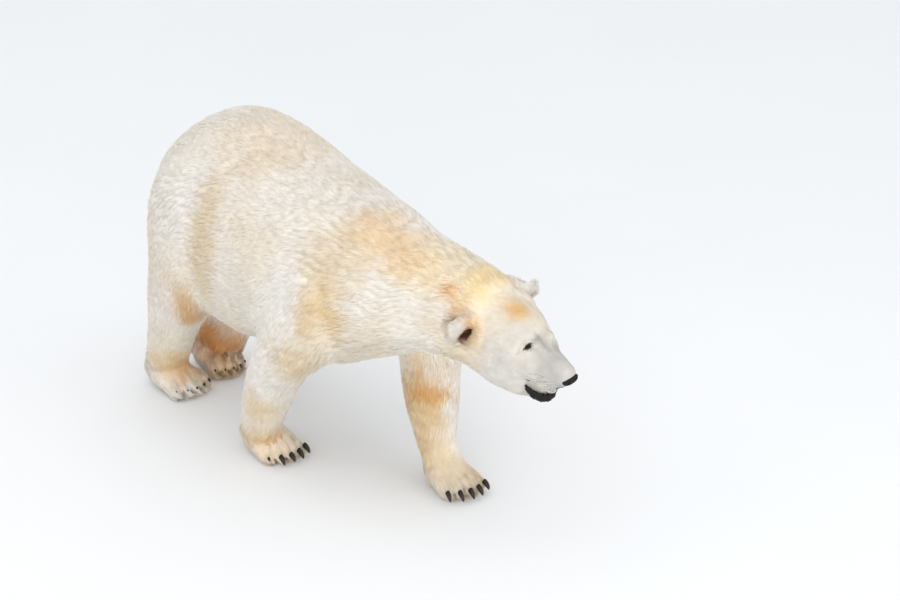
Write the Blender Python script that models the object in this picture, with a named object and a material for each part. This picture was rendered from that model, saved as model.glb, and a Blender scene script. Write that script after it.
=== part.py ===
"""A polar bear, life size, walking with its head low, as a still model of solid pieces.

The body is blocked out as a barrel, four limbs, four paws and a head, melted into one
solid, trimmed flat under the paws and then parted by thin cuts into its named parts.
Ears, eyes, nose, lower lip and claws are made by themselves and set into it.
Metres, +Z up. The bear faces -Y and its left side is +X.
"""

import math

import bmesh
import bpy
import numpy as np
from mathutils import Matrix, Vector
from mathutils.bvhtree import BVHTree

# ---------------------------------------------------------------- driving sizes
CUT = 0.0004  # width of a cut between two neighbouring parts
FIT = 0.0003  # clearance round a piece set into the flesh
CRUMB = 1.5e-5  # cubic metres; slivers smaller than this are left out
VOXEL = 0.0085  # grain of the melted body before it is thinned out
TREAD = 0.007  # soles within this of the floor are pressed flat on it
FLESH_TRIANGLES = 3400  # triangles of the whole body before it is cut

# Each paw: (left, ahead of the hind feet, turn to the left in degrees), then its breadth, length
# and plumpness.
PAWS = {
    "fore_right": ((-0.162, 0.668, 1.0), (0.208, 0.248, 0.76)),
    "fore_left": ((0.168, 1.308, -6.0), (0.200, 0.230, 0.90)),
    "hind_right": ((-0.126, -0.006, 4.0), (0.200, 0.288, 1.00)),
    "hind_left": ((0.095, -0.041, -2.0), (0.176, 0.254, 1.10)),
}
HEEL_LIFT = 2.5  # degrees that the right hind foot has rolled up on to its toes

# The head's own frame sits between the ears: place, then turn, pitch and roll in degrees.
HEAD_PLACE = (0.076, 1.664, 0.792)
HEAD_TURN, HEAD_PITCH, HEAD_ROLL = 0.0, 6.5, 14.3

# Upright sections of trunk and neck, tail to nape: (ahead, top, bottom, half width, to the left)
BARREL = [
    (-0.090, 0.835, 0.720, 0.055, 0.030),  # root of the tail
    (-0.070, 0.890, 0.655, 0.135, 0.030),
    (-0.005, 0.990, 0.560, 0.225, 0.030),  # buttocks
    (0.105, 1.102, 0.475, 0.290, 0.030),
    (0.250, 1.178, 0.420, 0.325, 0.030),  # top of the rump
    (0.410, 1.180, 0.388, 0.342, 0.025),
    (0.580, 1.146, 0.390, 0.345, 0.020),  # belly
    (0.740, 1.113, 0.425, 0.335, 0.010),
    (0.890, 1.096, 0.442, 0.315, 0.005),
    (1.020, 1.082, 0.448, 0.290, 0.000),  # withers
    (1.150, 1.064, 0.508, 0.258, 0.002),
    (1.280, 1.030, 0.565, 0.223, 0.010),  # root of the neck
    (1.420, 1.004, 0.622, 0.192, 0.030),
    (1.560, 0.976, 0.630, 0.168, 0.058),
    (1.660, 0.942, 0.630, 0.150, 0.076),  # nape
]
WIDEST = 0.44  # how far up a section its widest line lies

# Each limb from its root to its paw: (left, ahead, up, half breadth, half depth)
LIMBS = {
    "fore_right": [
        (-0.145, 1.000, 0.900, 0.100, 0.150),
        (-0.185, 0.995, 0.770, 0.120, 0.175),
        (-0.215, 0.960, 0.620, 0.120, 0.162),
        (-0.225, 0.880, 0.500, 0.112, 0.124),
        (-0.222, 0.815, 0.400, 0.104, 0.108),
        (-0.215, 0.757, 0.305, 0.097, 0.099),
        (-0.208, 0.708, 0.205, 0.087, 0.092),
        (-0.200, 0.678, 0.125, 0.075, 0.080),
        (-0.182, 0.665, 0.060, 0.074, 0.078),
    ],
    "fore_left": [
        (0.145, 1.020, 0.900, 0.100, 0.150),
        (0.178, 1.050, 0.760, 0.115, 0.170),
        (0.203, 1.100, 0.610, 0.112, 0.150),
        (0.208, 1.140, 0.480, 0.108, 0.130),
        (0.203, 1.155, 0.380, 0.105, 0.120),
        (0.197, 1.172, 0.270, 0.096, 0.108),
        (0.190, 1.194, 0.190, 0.083, 0.092),
        (0.184, 1.224, 0.115, 0.071, 0.075),
        (0.175, 1.255, 0.060, 0.072, 0.076),
    ],
    "hind_right": [
        (-0.140, 0.300, 1.000, 0.110, 0.190),
        (-0.190, 0.300, 0.850, 0.130, 0.225),
        (-0.205, 0.275, 0.700, 0.130, 0.210),
        (-0.200, 0.215, 0.550, 0.118, 0.175),
        (-0.182, 0.130, 0.420, 0.104, 0.140),
        (-0.160, 0.062, 0.300, 0.094, 0.112),
        (-0.146, 0.010, 0.200, 0.088, 0.098),
        (-0.138, -0.030, 0.110, 0.080, 0.088),
    ],
    "hind_left": [
        (0.190, 0.290, 1.000, 0.110, 0.190),
        (0.240, 0.285, 0.850, 0.130, 0.225),
        (0.250, 0.240, 0.700, 0.130, 0.210),
        (0.235, 0.160, 0.550, 0.118, 0.175),
        (0.193, 0.072, 0.420, 0.104, 0.136),
        (0.152, 0.012, 0.300, 0.094, 0.112),
        (0.135, -0.012, 0.190, 0.090, 0.114),
        (0.113, -0.035, 0.110, 0.088, 0.108),
    ],
}
LIMB_GAP = 0.022  # how far outside a limb the cut between it and the trunk runs
BELL_SIDES = 10
BELL_ROWS = {"fore_right": 5, "fore_left": 5, "hind_right": 6, "hind_left": 6}
# Cuts across each limb: (left, ahead, up, lean of the cut)
JOINTS = {
    "fore_right": [(-0.222, 0.837, 0.395, -0.10), (-0.200, 0.680, 0.150, 0.0)],
    "fore_left": [(0.206, 1.147, 0.440, 0.0), (0.186, 1.215, 0.150, 0.0)],
    "hind_right": [(-0.174, 0.104, 0.372, -0.10), (-0.147, 0.034, 0.215, 0.0)],
    "hind_left": [(0.186, 0.036, 0.372, -0.10), (0.133, -0.046, 0.172, 0.0)],
}

# Sections across the head's own axis: (ahead of the ears, top, bottom, half width)
SKULL = [
    (-0.150, 0.130, -0.165, 0.130),
    (-0.080, 0.132, -0.180, 0.147),
    (0.000, 0.128, -0.198, 0.150),  # ears
    (0.070, 0.119, -0.203, 0.140),
    (0.130, 0.103, -0.170, 0.115),
    (0.175, 0.082, -0.135, 0.090),
    (0.215, 0.058, -0.122, 0.076),  # eyes, mouth corners
    (0.235, 0.042, -0.128, 0.062),
    (0.260, 0.025, -0.128, 0.054),
    (0.295, 0.010, -0.115, 0.047),
    (0.320, 0.002, -0.094, 0.042),
    (0.341, -0.006, -0.084, 0.036),  # nose
    (0.351, -0.018, -0.074, 0.026),
]
JAW = [
    (0.060, -0.080, -0.212, 0.115),
    (0.110, -0.090, -0.206, 0.104),
    (0.150, -0.100, -0.204, 0.090),
    (0.175, -0.110, -0.204, 0.070),
    (0.188, -0.124, -0.206, 0.054),
    (0.200, -0.142, -0.205, 0.036),
    (0.214, -0.168, -0.203, 0.018),  # chin
]
# The mouth from the side, (ahead, up): a thin cut behind the corners, then open to the front
MOUTH = [
    (0.1000, -0.3000),
    (0.1000, -0.1060),
    (0.1850, -0.1065),
    (0.2200, -0.1180),
    (0.2550, -0.1240),
    (0.2850, -0.1160),
    (0.3150, -0.0950),
    (0.3400, -0.0750),
    (0.4000, -0.0600),
    (0.4000, -0.1650),
    (0.2600, -0.1760),
    (0.2300, -0.1540),
    (0.2100, -0.1320),
    (0.1850, -0.1069),
    (0.1004, -0.1064),
    (0.1004, -0.3000),
]
EYE_PLACE = (0.053, 0.213, 0.042)  # out, ahead, up
EYE_RADIUS = 0.0150
EYE_DEPTH = 0.0085  # from the face down to the eyeball's centre
EAR_PLACE = (0.140, -0.006, 0.042)
EAR_SIZE = (0.053, 0.022, 0.064)  # half breadth, half thickness, half height
NOSE_PLACE = (0.0, 0.344, -0.057)
NOSE_SIZE = (0.032, 0.021, 0.022)
TOES = 5
CLAW_LENGTH, CLAW_RADIUS = 0.046, 0.0082


# ---------------------------------------------------------------- small helpers
def clear_scene():
    for old in list(bpy.data.objects):
        bpy.data.objects.remove(old, do_unlink=True)


def place(left, ahead, up):
    """A point from its distance to the left, ahead of the hind feet, and above the floor."""
    return Vector((left, -ahead, up))


def material(name, colour, roughness):
    made = bpy.data.materials.new(name)
    made.use_nodes = True
    made.diffuse_color = (*colour, 1.0)
    shader = made.node_tree.nodes["Principled BSDF"]
    shader.inputs["Base Color"].default_value = (*colour, 1.0)
    shader.inputs["Roughness"].default_value = roughness
    shader.inputs["Metallic"].default_value = 0.0
    return made


def eased(rows, steps):
    """Rows of numbers joined by a smooth Catmull-Rom curve, with `steps` rows for each gap."""
    keys = np.array(rows, float)
    padded = np.vstack([2 * keys[0] - keys[1], keys, 2 * keys[-1] - keys[-2]])
    found = []
    for i in range(len(keys) - 1):
        a, b, c, d = padded[i : i + 4]
        for t in np.arange(steps) / steps:
            curve = 2 * b + (c - a) * t + (2 * a - 5 * b + 4 * c - d) * t**2
            found.append(0.5 * (curve + (3 * b - a - 3 * c + d) * t**3))
    return np.array(found + [keys[-1]])


def object_from(name, bm):
    mesh = bpy.data.meshes.new(name)
    bm.to_mesh(mesh)
    bm.free()
    made = bpy.data.objects.new(name, mesh)
    bpy.context.scene.collection.objects.link(made)
    return made


def lofted(name, rings):
    """A closed solid through rings of points, all with the same number of points."""
    bm = bmesh.new()
    loops = [[bm.verts.new(p) for p in ring] for ring in rings]
    for first, second in zip(loops, loops[1:]):
        count = len(first)
        for i in range(count):
            j = (i + 1) % count
            bm.faces.new((first[i], first[j], second[j], second[i]))
    bm.faces.new(loops[0][::-1])
    bm.faces.new(loops[-1])
    bmesh.ops.recalc_face_normals(bm, faces=bm.faces)
    return object_from(name, bm)


def rounded(angle, power=2.3):
    """A point on a slightly squared unit circle."""
    c, s = math.cos(angle), math.sin(angle)
    return (
        math.copysign(abs(c) ** (2 / power), c),
        math.copysign(abs(s) ** (2 / power), s),
    )


def mass(name, centre, radii, turn=Matrix.Identity(3), segments=24):
    """An ellipsoid of flesh."""
    bm = bmesh.new()
    bmesh.ops.create_uvsphere(bm, u_segments=segments, v_segments=segments // 2, radius=1.0)
    shape = turn.to_4x4() @ Matrix.Diagonal((*radii, 1.0))
    bmesh.ops.transform(bm, matrix=Matrix.Translation(centre) @ shape, verts=bm.verts)
    return object_from(name, bm)


def sweep(stations, sides, steps, grown=0.0):
    """Rings square to a limb's axis, through stations (left, ahead, up, half breadth, half depth)."""
    rows = eased(stations, steps)
    points = [place(*row[:3]) for row in rows]
    lateral = Vector((1, 0, 0))
    rings = []
    for i, (point, row) in enumerate(zip(points, rows)):
        along = (points[min(i + 1, len(points) - 1)] - points[max(i - 1, 0)]).normalized()
        across = (lateral - along * lateral.dot(along)).normalized()
        depth = along.cross(across)
        ring = []
        for k in range(sides):
            c, s = rounded(2 * math.pi * k / sides)
            ring.append(point + across * (c * (row[3] + grown)) + depth * (s * (row[4] + grown)))
        rings.append(ring)
    return rings


def applied(obj):
    """Replaces an object's mesh by what its modifiers make of it."""
    graph = bpy.context.evaluated_depsgraph_get()
    graph.update()
    mesh = bpy.data.meshes.new_from_object(obj.evaluated_get(graph))
    obj.modifiers.clear()
    obj.data = mesh
    return obj


def joined(name, pieces):
    """One object that holds the meshes of several, which it removes."""
    bm = bmesh.new()
    for piece in pieces:
        bm.from_mesh(piece.data)
        bpy.data.objects.remove(piece, do_unlink=True)
    return object_from(name, bm)


def without(obj, cutter, keep=False):
    """Cuts a solid away from an object and, unless it is to be kept, removes the cutter."""
    cut = obj.modifiers.new("cut", "BOOLEAN")
    cut.operation = "DIFFERENCE"
    cut.solver = "EXACT"
    cut.object = cutter
    applied(obj)
    if not keep:
        bpy.data.objects.remove(cutter, do_unlink=True)
    return obj


# ---------------------------------------------------------------- trunk and neck
def barrel():
    rings = []
    for ahead, top, bottom, half, left in eased(BARREL, 6):
        middle = bottom + WIDEST * (top - bottom)
        ring = []
        for k in range(60):
            c, s = rounded(2 * math.pi * k / 60, 2.2)
            up = middle + s * ((top - middle) if s > 0 else (middle - bottom))
            ring.append(place(left + c * half, ahead, up))
        rings.append(ring)
    return lofted("barrel", rings)


# ---------------------------------------------------------------- paws
def toe_row(breadth, length):
    """(left, ahead) of each toe, in a shallow arc across the paw."""
    rows = []
    for i in range(TOES):
        k = i - (TOES - 1) / 2
        rows.append((k * breadth * 0.195, length * 0.385 - 0.0065 * k * k))
    return rows


def toe_frame(name):
    """The paw's own frame, flat on the floor."""
    left, ahead, turn = PAWS[name][0]
    return Matrix.Translation(place(left, ahead, 0.0)) @ Matrix.Rotation(math.radians(turn), 4, "Z")


def paw_frame(name):
    """The frame of heel and instep; the right hind one is tipped up about its toes."""
    base = toe_frame(name)
    if name != "hind_right":
        return base
    pivot = PAWS[name][1][1] * 0.30
    tip = Matrix.Translation((0, -pivot, 0)) @ Matrix.Rotation(math.radians(HEEL_LIFT), 4, "X")
    return base @ tip @ Matrix.Translation((0, pivot, 0))


def paw_masses(name):
    frame = paw_frame(name)
    turn = frame.to_3x3()
    _, (breadth, length, plump) = PAWS[name]
    lumps = [
        # sole, heel and instep: (ahead, up, half breadth, half length, half height)
        (-0.010, 0.046, breadth * 0.455, length * 0.44, 0.056),
        (-length * 0.20, 0.068, breadth * 0.40, 0.088, 0.064),
        (length * 0.15, 0.048 * plump, breadth * 0.445, 0.075, 0.046 * plump),
    ]
    made = []
    for ahead, up, *radii in lumps:
        made.append(mass(name, frame @ Vector((0, -ahead, up)), radii, turn))
    floor = toe_frame(name)
    for left, ahead in toe_row(breadth, length):
        tip = floor @ Vector((left, -ahead, 0.030 * plump))
        root = floor @ Vector((left, 0.032 - ahead, 0.047 * plump))
        made.append(mass(name, tip, (breadth * 0.105, 0.042, 0.034 * plump), turn, 16))
        made.append(mass(name, root, (breadth * 0.100, 0.050, 0.031 * plump), turn, 16))
    return made


def claw(name, frame, left, ahead, up, spread, grown=0.0):
    """A curved, tapering claw; `grown` makes the cutter that frees it from its toe."""
    sides, steps = 6, 4
    tilt = Vector((math.sin(spread), -math.cos(spread), 0))
    across = Vector((math.cos(spread), math.sin(spread), 0))
    rings = []
    for i in range(steps + 1):
        bend = 1.05 * i / steps  # radians that the claw has curled down by here
        reach = CLAW_LENGTH * math.sin(bend) / 1.05 - grown * (i == 0)
        drop = CLAW_LENGTH * (1 - math.cos(bend)) / 1.05
        radius = CLAW_RADIUS * (1.0 - 0.72 * (i / steps) ** 1.6) + grown
        normal = Vector((0, 0, 1)) * math.cos(bend) + tilt * math.sin(bend)
        centre = Vector((left, -ahead, up - drop)) + tilt * reach
        ring = []
        for k in range(sides):
            a = 2 * math.pi * k / sides
            offset = across * (0.8 * radius * math.cos(a)) + normal * (radius * math.sin(a))
            ring.append(frame @ (centre + offset))
        rings.append(ring)
    return lofted(name, rings)


# ---------------------------------------------------------------- head
def head_frame():
    turn = Matrix.Rotation(math.radians(HEAD_TURN), 4, "Z")
    pitch = Matrix.Rotation(math.radians(HEAD_PITCH), 4, "X")
    roll = Matrix.Rotation(math.radians(-HEAD_ROLL), 4, "Y")
    return Matrix.Translation(place(*HEAD_PLACE)) @ turn @ pitch @ roll


def head_sections(frame, rows, widest):
    rings = []
    for ahead, top, bottom, half in eased(rows, 5):
        middle = bottom + widest * (top - bottom)
        ring = []
        for k in range(40):
            c, s = rounded(2 * math.pi * k / 40, 2.15)
            up = middle + s * ((top - middle) if s > 0 else (middle - bottom))
            ring.append(frame @ Vector((c * half, -ahead, up)))
        rings.append(ring)
    return rings


def head_masses(frame):
    turn = frame.to_3x3()
    made = [
        lofted("skull", head_sections(frame, SKULL, 0.42)),
        lofted("mandible", head_sections(frame, JAW, 0.50)),
    ]
    for side in (-1, 1):
        brow = frame @ Vector((side * 0.031, -0.200, 0.040))
        cheek = frame @ Vector((side * 0.085, -0.050, -0.080))
        made.append(mass("brow", brow, (0.026, 0.050, 0.024), turn, 16))
        made.append(mass("cheek", cheek, (0.062, 0.105, 0.090), turn, 20))
    return made


def mouth_cutter(frame):
    """Parts the jaw behind the mouth's corners and opens the mouth in front of them."""
    sides = []
    for out in (-0.20, 0.20):
        sides.append([frame @ Vector((out, -ahead, up)) for ahead, up in MOUTH])
    return lofted("mouth", sides)


def ear_shape(name, frame, side, grown=0.0):
    """A cupped ear that leans outwards and faces ahead; `grown` makes the plain cutter for its seat."""
    up = Vector((side * 0.62, -0.12, 0.74)).normalized()
    face = Vector((side * 0.42, -0.84, 0.10))
    face = (face - up * face.dot(up)).normalized()
    across = face.cross(up)
    turn = frame.to_3x3() @ Matrix((across, face, up)).transposed()
    centre = frame @ Vector((side * EAR_PLACE[0], -EAR_PLACE[1], EAR_PLACE[2]))
    shell = mass(name, centre, [size + grown for size in EAR_SIZE], turn, 14)
    if grown:
        return shell
    hollow_centre = centre + turn @ Vector((0, 0.0155, 0.006))
    return without(shell, mass("cup", hollow_centre, (0.034, 0.019, 0.045), turn, 10))


def nose_shape(name, frame, grown=0.0):
    centre = frame @ Vector((0, -NOSE_PLACE[1], NOSE_PLACE[2]))
    turn = frame.to_3x3() @ Matrix.Rotation(math.radians(-16), 3, "X")
    return mass(name, centre, [size + grown for size in NOSE_SIZE], turn, 12)


def lip_shape(name, frame, grown=0.0):
    """The thick black lower lip, swept round the jaw from corner to corner of the mouth."""
    rows = [
        # out, ahead, up, half thickness, half height
        (0.0790, 0.184, -0.1130, 0.0050, 0.0050),
        (0.0720, 0.193, -0.1380, 0.0090, 0.0190),
        (0.0520, 0.201, -0.1620, 0.0105, 0.0260),
        (0.0300, 0.213, -0.1800, 0.0110, 0.0240),
        (0.0100, 0.225, -0.1880, 0.0110, 0.0210),
    ]
    path = rows + [(-row[0], *row[1:]) for row in reversed(rows)]
    stations = eased(path, 2)
    centres = [Vector((row[0], -row[1], row[2])) for row in stations]
    rings = []
    for i, (centre, row) in enumerate(zip(centres, stations)):
        along = (centres[min(i + 1, len(centres) - 1)] - centres[max(i - 1, 0)]).normalized()
        outwards = along.cross(Vector((0, 0, 1))).normalized()
        upwards = outwards.cross(along)
        ring = []
        for k in range(8):
            a = 2 * math.pi * k / 8
            offset = outwards * ((row[3] + grown) * math.cos(a)) + upwards * ((row[4] + grown) * math.sin(a))
            ring.append(frame @ (centre + offset))
        rings.append(ring)
    return lofted(name, rings)


def eye_centre(frame, side, face):
    """The eyeball's centre, found a fixed depth under the blocked-out face."""
    inwards = (frame.to_3x3() @ Vector((-side * 0.86, 0.42, -0.22))).normalized()
    aim = frame @ Vector((side * EYE_PLACE[0], -EYE_PLACE[1], EYE_PLACE[2]))
    _, surface, _, _ = face.ray_cast(aim - inwards * 0.20, inwards)
    return surface + inwards * EYE_DEPTH


# ---------------------------------------------------------------- the whole body
def whole_body(head):
    """All the flesh melted into one solid with flat soles."""
    pieces = [barrel(), *head_masses(head)]
    for name, rows in LIMBS.items():
        pieces.append(lofted(name, sweep(rows, 32, 6)))
        pieces += paw_masses(name)
    tail_turn = Matrix.Rotation(-0.25, 3, "X")
    pieces.append(mass("tail", place(0.030, -0.118, 0.850), (0.050, 0.052, 0.095), tail_turn))
    body = joined("body", pieces)
    melt = body.modifiers.new("melt", "REMESH")
    melt.mode = "VOXEL"
    melt.voxel_size = VOXEL
    applied(body)
    soften(body, head)
    flatten(body)
    thin = body.modifiers.new("thin", "DECIMATE")
    thin.ratio = FLESH_TRIANGLES / (2 * len(body.data.polygons))
    thin.vertex_group = "plain"
    thin.vertex_group_factor = 0.001
    applied(body)
    flatten(body)
    return body


def soften(body, head):
    """Eases the joints of the blocked-out masses, hardly on the face and paws."""
    to_head = head.inverted()
    large = body.vertex_groups.new(name="large")
    plain = body.vertex_groups.new(name="plain")
    for vertex in body.data.vertices:
        ahead = -(to_head @ vertex.co).y
        face = min(1.0, max(0.0, (ahead + 0.02) / 0.10))
        paw = min(1.0, max(0.0, (0.20 - vertex.co.z) / 0.08))
        weight = (1 - face) * (1 - paw)
        large.add([vertex.index], weight, "REPLACE")
        plain.add([vertex.index], 0.5 + 0.5 * weight, "REPLACE")
    for group, iterations in (("large", 50), ("", 4)):
        ease = body.modifiers.new("ease", "SMOOTH")
        ease.factor = 0.5
        ease.iterations = iterations
        ease.vertex_group = group
    applied(body)


def flatten(body):
    """Trims whatever lies under the floor, which leaves a small flat under each paw."""
    bm = bmesh.new()
    bm.from_mesh(body.data)
    everything = list(bm.verts) + list(bm.edges) + list(bm.faces)
    cut = bmesh.ops.bisect_plane(bm, geom=everything, plane_co=(0, 0, 0), plane_no=(0, 0, -1),
                                 clear_outer=True)
    edges = [e for e in cut["geom_cut"] if isinstance(e, bmesh.types.BMEdge)]
    bmesh.ops.holes_fill(bm, edges=edges, sides=0)
    for vertex in bm.verts:
        if vertex.co.z < TREAD:
            vertex.co.z = 0.0
    bmesh.ops.recalc_face_normals(bm, faces=bm.faces)
    bm.to_mesh(body.data)
    bm.free()


# ---------------------------------------------------------------- cuts between the parts
def plate(centre, normal, radius):
    """A thin disc that cuts straight across the body."""
    bm = bmesh.new()
    bmesh.ops.create_cone(bm, cap_ends=True, segments=16, radius1=radius, radius2=radius, depth=CUT)
    turn = normal.normalized().to_track_quat("Z", "Y").to_matrix().to_4x4()
    bmesh.ops.transform(bm, matrix=Matrix.Translation(centre) @ turn, verts=bm.verts)
    return object_from("plate", bm)


def bell(rows):
    """A thin bell, open below, that follows the top of a limb and frees it from the trunk."""
    left, ahead, up, breadth, depth = rows[0]
    levels = np.array([(left, ahead, up + 0.060, 0.35 * breadth, 0.40 * depth), *rows])
    run = np.abs(np.gradient(levels[:, 1]) / np.gradient(levels[:, 2]))
    slant = np.hypot(1.0, run)  # a slanting limb is deeper when cut level
    rings = []
    for grown in (LIMB_GAP + CUT, LIMB_GAP):
        wall = []
        for (left, ahead, up, breadth, depth), longer in zip(levels, slant):
            ring = []
            for k in range(BELL_SIDES):
                c, s = rounded(2 * math.pi * k / BELL_SIDES)
                out, along = c * (breadth + grown), s * (longer * depth + grown)
                ring.append(place(left + out, ahead + along, up))
            wall.append(ring)
        rings.append(wall)
    outer, inner = rings
    outer[0] = [point + Vector((0, 0, CUT)) for point in outer[0]]
    bm = bmesh.new()
    walls = [[[bm.verts.new(p) for p in ring] for ring in wall] for wall in (outer, inner)]
    for k in range(BELL_SIDES):
        j = (k + 1) % BELL_SIDES
        for wall in walls:
            for above, below in zip(wall, wall[1:]):
                bm.faces.new((above[k], above[j], below[j]))
                bm.faces.new((above[k], below[j], below[k]))
        rim, lining = walls[0][-1], walls[1][-1]
        bm.faces.new((rim[k], rim[j], lining[j], lining[k]))
    for wall in walls:
        bm.faces.new(wall[0])
    bmesh.ops.recalc_face_normals(bm, faces=bm.faces)
    return object_from("bell", bm)


def cutters(head):
    """Every thin cut through the flesh, in order."""
    ahead = head.to_3x3() @ Vector((0, -1, 0))
    made = [
        plate(head @ Vector((0.0, 0.095, -0.040)), ahead, 0.26),
        plate(place(0.010, 1.290, 0.800), Vector((0, -1.0, 0.22)), 0.36),
        plate(place(0.030, -0.112, 0.850), Vector((0, 1.0, 0.15)), 0.13),
    ]
    for name, rows in LIMBS.items():
        made.append(bell(rows[: BELL_ROWS[name]]))
        for left, ahead_by, up, lean in JOINTS[name]:
            made.append(plate(place(left, ahead_by, up), Vector((0, lean, 1.0)), 0.185))
    made.append(mouth_cutter(head))
    return made


def flesh_places(head):
    """A point near the middle of each part of the flesh, by its name."""
    found = {
        "trunk": place(0.010, 0.550, 0.800),
        "neck": place(0.030, 1.440, 0.800),
        "head": head @ Vector((0.0, -0.080, 0.000)),
        "jaw": head @ Vector((0.0, -0.180, -0.150)),
        "tail": place(0.030, -0.140, 0.890),
    }
    for name, rows in LIMBS.items():
        end, side = name.split("_")
        upper, lower = ("upper_arm", "forearm") if end == "fore" else ("thigh", "shank")
        found[f"{upper}_{side}"] = place(*rows[1][:3])
        found[f"{lower}_{side}"] = place(*rows[-3][:3])
        found[f"paw_{name}"] = paw_frame(name) @ Vector((0, 0, 0.050))
    return found


def volume(obj):
    bm = bmesh.new()
    bm.from_mesh(obj.data)
    found = bm.calc_volume()
    bm.free()
    return found


def loose_parts(obj):
    """The separate bodies that an object's mesh holds, as objects; crumbs are dropped."""
    mesh = obj.data
    group = list(range(len(mesh.vertices)))

    def leader(i):
        while group[i] != i:
            group[i] = group[group[i]]
            i = group[i]
        return i

    for edge in mesh.edges:
        a, b = leader(edge.vertices[0]), leader(edge.vertices[1])
        group[max(a, b)] = min(a, b)
    faces_of = {}
    for face in mesh.polygons:
        faces_of.setdefault(leader(face.vertices[0]), []).append(list(face.vertices))
    made = []
    for faces in faces_of.values():
        used = sorted({i for face in faces for i in face})
        renumbered = {old: new for new, old in enumerate(used)}
        part = bpy.data.meshes.new(obj.name)
        points = [mesh.vertices[i].co for i in used]
        part.from_pydata(points, [], [[renumbered[i] for i in face] for face in faces])
        piece = bpy.data.objects.new(obj.name, part)
        bpy.context.scene.collection.objects.link(piece)
        if volume(piece) > CRUMB:
            made.append(piece)
        else:
            bpy.data.objects.remove(piece, do_unlink=True)
    bpy.data.objects.remove(obj, do_unlink=True)
    return made


def tree_of(obj):
    bm = bmesh.new()
    bm.from_mesh(obj.data)
    tree = BVHTree.FromBMesh(bm)
    bm.free()
    return tree


def parted(body, knives, places):
    """Cuts the flesh with each knife in turn and names every piece after the nearest place."""
    pieces = [body]
    for knife in knives:
        edge = tree_of(knife)
        kept = []
        for piece in pieces:
            if edge.overlap(tree_of(piece)):
                kept += loose_parts(without(piece, knife, keep=True))
            else:
                kept.append(piece)
        pieces = kept
        bpy.data.objects.remove(knife, do_unlink=True)
    named = {}
    for piece in pieces:
        middle = sum((v.co for v in piece.data.vertices), Vector()) / len(piece.data.vertices)
        name = min(places, key=lambda key: (places[key] - middle).length)
        named[name] = piece
        piece.name = name
    return named


def finish(obj, made_of):
    obj.data.materials.clear()
    obj.data.materials.append(made_of)
    return obj


# ---------------------------------------------------------------- the bear
clear_scene()
FUR = material("cream_coat", (0.86, 0.80, 0.66), 0.85)
BLACK_SKIN = material("black_skin", (0.030, 0.026, 0.024), 0.40)
HORN = material("claw_horn", (0.060, 0.045, 0.038), 0.35)
EYE = material("brown_eye", (0.035, 0.018, 0.010), 0.10)

HEAD = head_frame()
body = whole_body(HEAD)
bpy.context.view_layer.update()
EYES = {side: eye_centre(HEAD, side, body) for side in (-1, 1)}
FLESH = parted(body, cutters(HEAD), flesh_places(HEAD))
for part in FLESH.values():
    finish(part, FUR)

# Ears, eyes, nose and lip, each in a seat cut to its own shape
for side, word in ((-1, "right"), (1, "left")):
    without(FLESH["head"], ear_shape("ear_seat", HEAD, side, FIT))
    finish(ear_shape(f"ear_{word}", HEAD, side), FUR)
    eye_turn = HEAD.to_3x3()
    seat = mass("eye_seat", EYES[side], [EYE_RADIUS + FIT] * 3, eye_turn, 12)
    without(FLESH["head"], seat)
    finish(mass(f"eye_{word}", EYES[side], [EYE_RADIUS] * 3, eye_turn, 12), EYE)
without(FLESH["head"], nose_shape("nose_seat", HEAD, FIT))
finish(nose_shape("nose", HEAD), BLACK_SKIN)
without(FLESH["head"], lip_shape("lip_seat", HEAD, FIT))
without(FLESH["jaw"], lip_shape("lip_seat", HEAD, FIT))
finish(lip_shape("lip_lower", HEAD), BLACK_SKIN)

# Five claws on each paw, fanned out a little
for name, (_, (breadth, length, plump)) in PAWS.items():
    frame = toe_frame(name)
    for i, (left, ahead) in enumerate(toe_row(breadth, length)):
        spread = math.radians(5.0 * (i - 2))
        root = (left, ahead + 0.032, 0.010 + 0.032 * plump)
        without(FLESH[f"paw_{name}"], claw("claw_seat", frame, *root, spread, FIT))
        finish(claw(f"claw_{name}_{i + 1}", frame, *root, spread), HORN)

# The frame's origin lies on the floor, in the middle of the bear's length and breadth
points = np.array([v.co for obj in bpy.data.objects for v in obj.data.vertices])
low, high = points.min(axis=0), points.max(axis=0)
middle = Vector(((low[0] + high[0]) / 2, (low[1] + high[1]) / 2, low[2]))
for obj in bpy.data.objects:
    obj.data.transform(Matrix.Translation(-middle))
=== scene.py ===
"""The looks of a life-size polar bear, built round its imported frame."""

import math

import bmesh
import bpy
import numpy as np
from mathutils import Matrix, Vector
from mathutils.bvhtree import BVHTree


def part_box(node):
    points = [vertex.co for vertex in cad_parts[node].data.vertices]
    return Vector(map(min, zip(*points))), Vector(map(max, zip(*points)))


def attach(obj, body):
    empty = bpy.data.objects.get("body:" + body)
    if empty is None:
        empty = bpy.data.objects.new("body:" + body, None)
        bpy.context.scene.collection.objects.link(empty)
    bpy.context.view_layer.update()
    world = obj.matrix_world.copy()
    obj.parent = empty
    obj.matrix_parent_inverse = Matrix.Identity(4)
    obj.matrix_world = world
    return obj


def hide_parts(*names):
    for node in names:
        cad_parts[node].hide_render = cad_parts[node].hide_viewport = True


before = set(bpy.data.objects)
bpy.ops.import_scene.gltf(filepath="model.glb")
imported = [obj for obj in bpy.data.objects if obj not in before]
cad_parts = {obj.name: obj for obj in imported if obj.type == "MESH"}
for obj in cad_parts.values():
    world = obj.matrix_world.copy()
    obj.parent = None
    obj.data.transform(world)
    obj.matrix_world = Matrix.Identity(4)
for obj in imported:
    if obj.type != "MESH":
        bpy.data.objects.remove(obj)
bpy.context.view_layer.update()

# ---------------------------------------------------------------- studio
# A wide, pale, matt floor like packed snow, under an even overcast dome of light with one
# broad soft lamp high over the bear's right side, and the camera up on that side.
HIND_FEET = Vector((-0.0212, 0.9204, 0.0))  # the point on the floor between the hind feet


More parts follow.
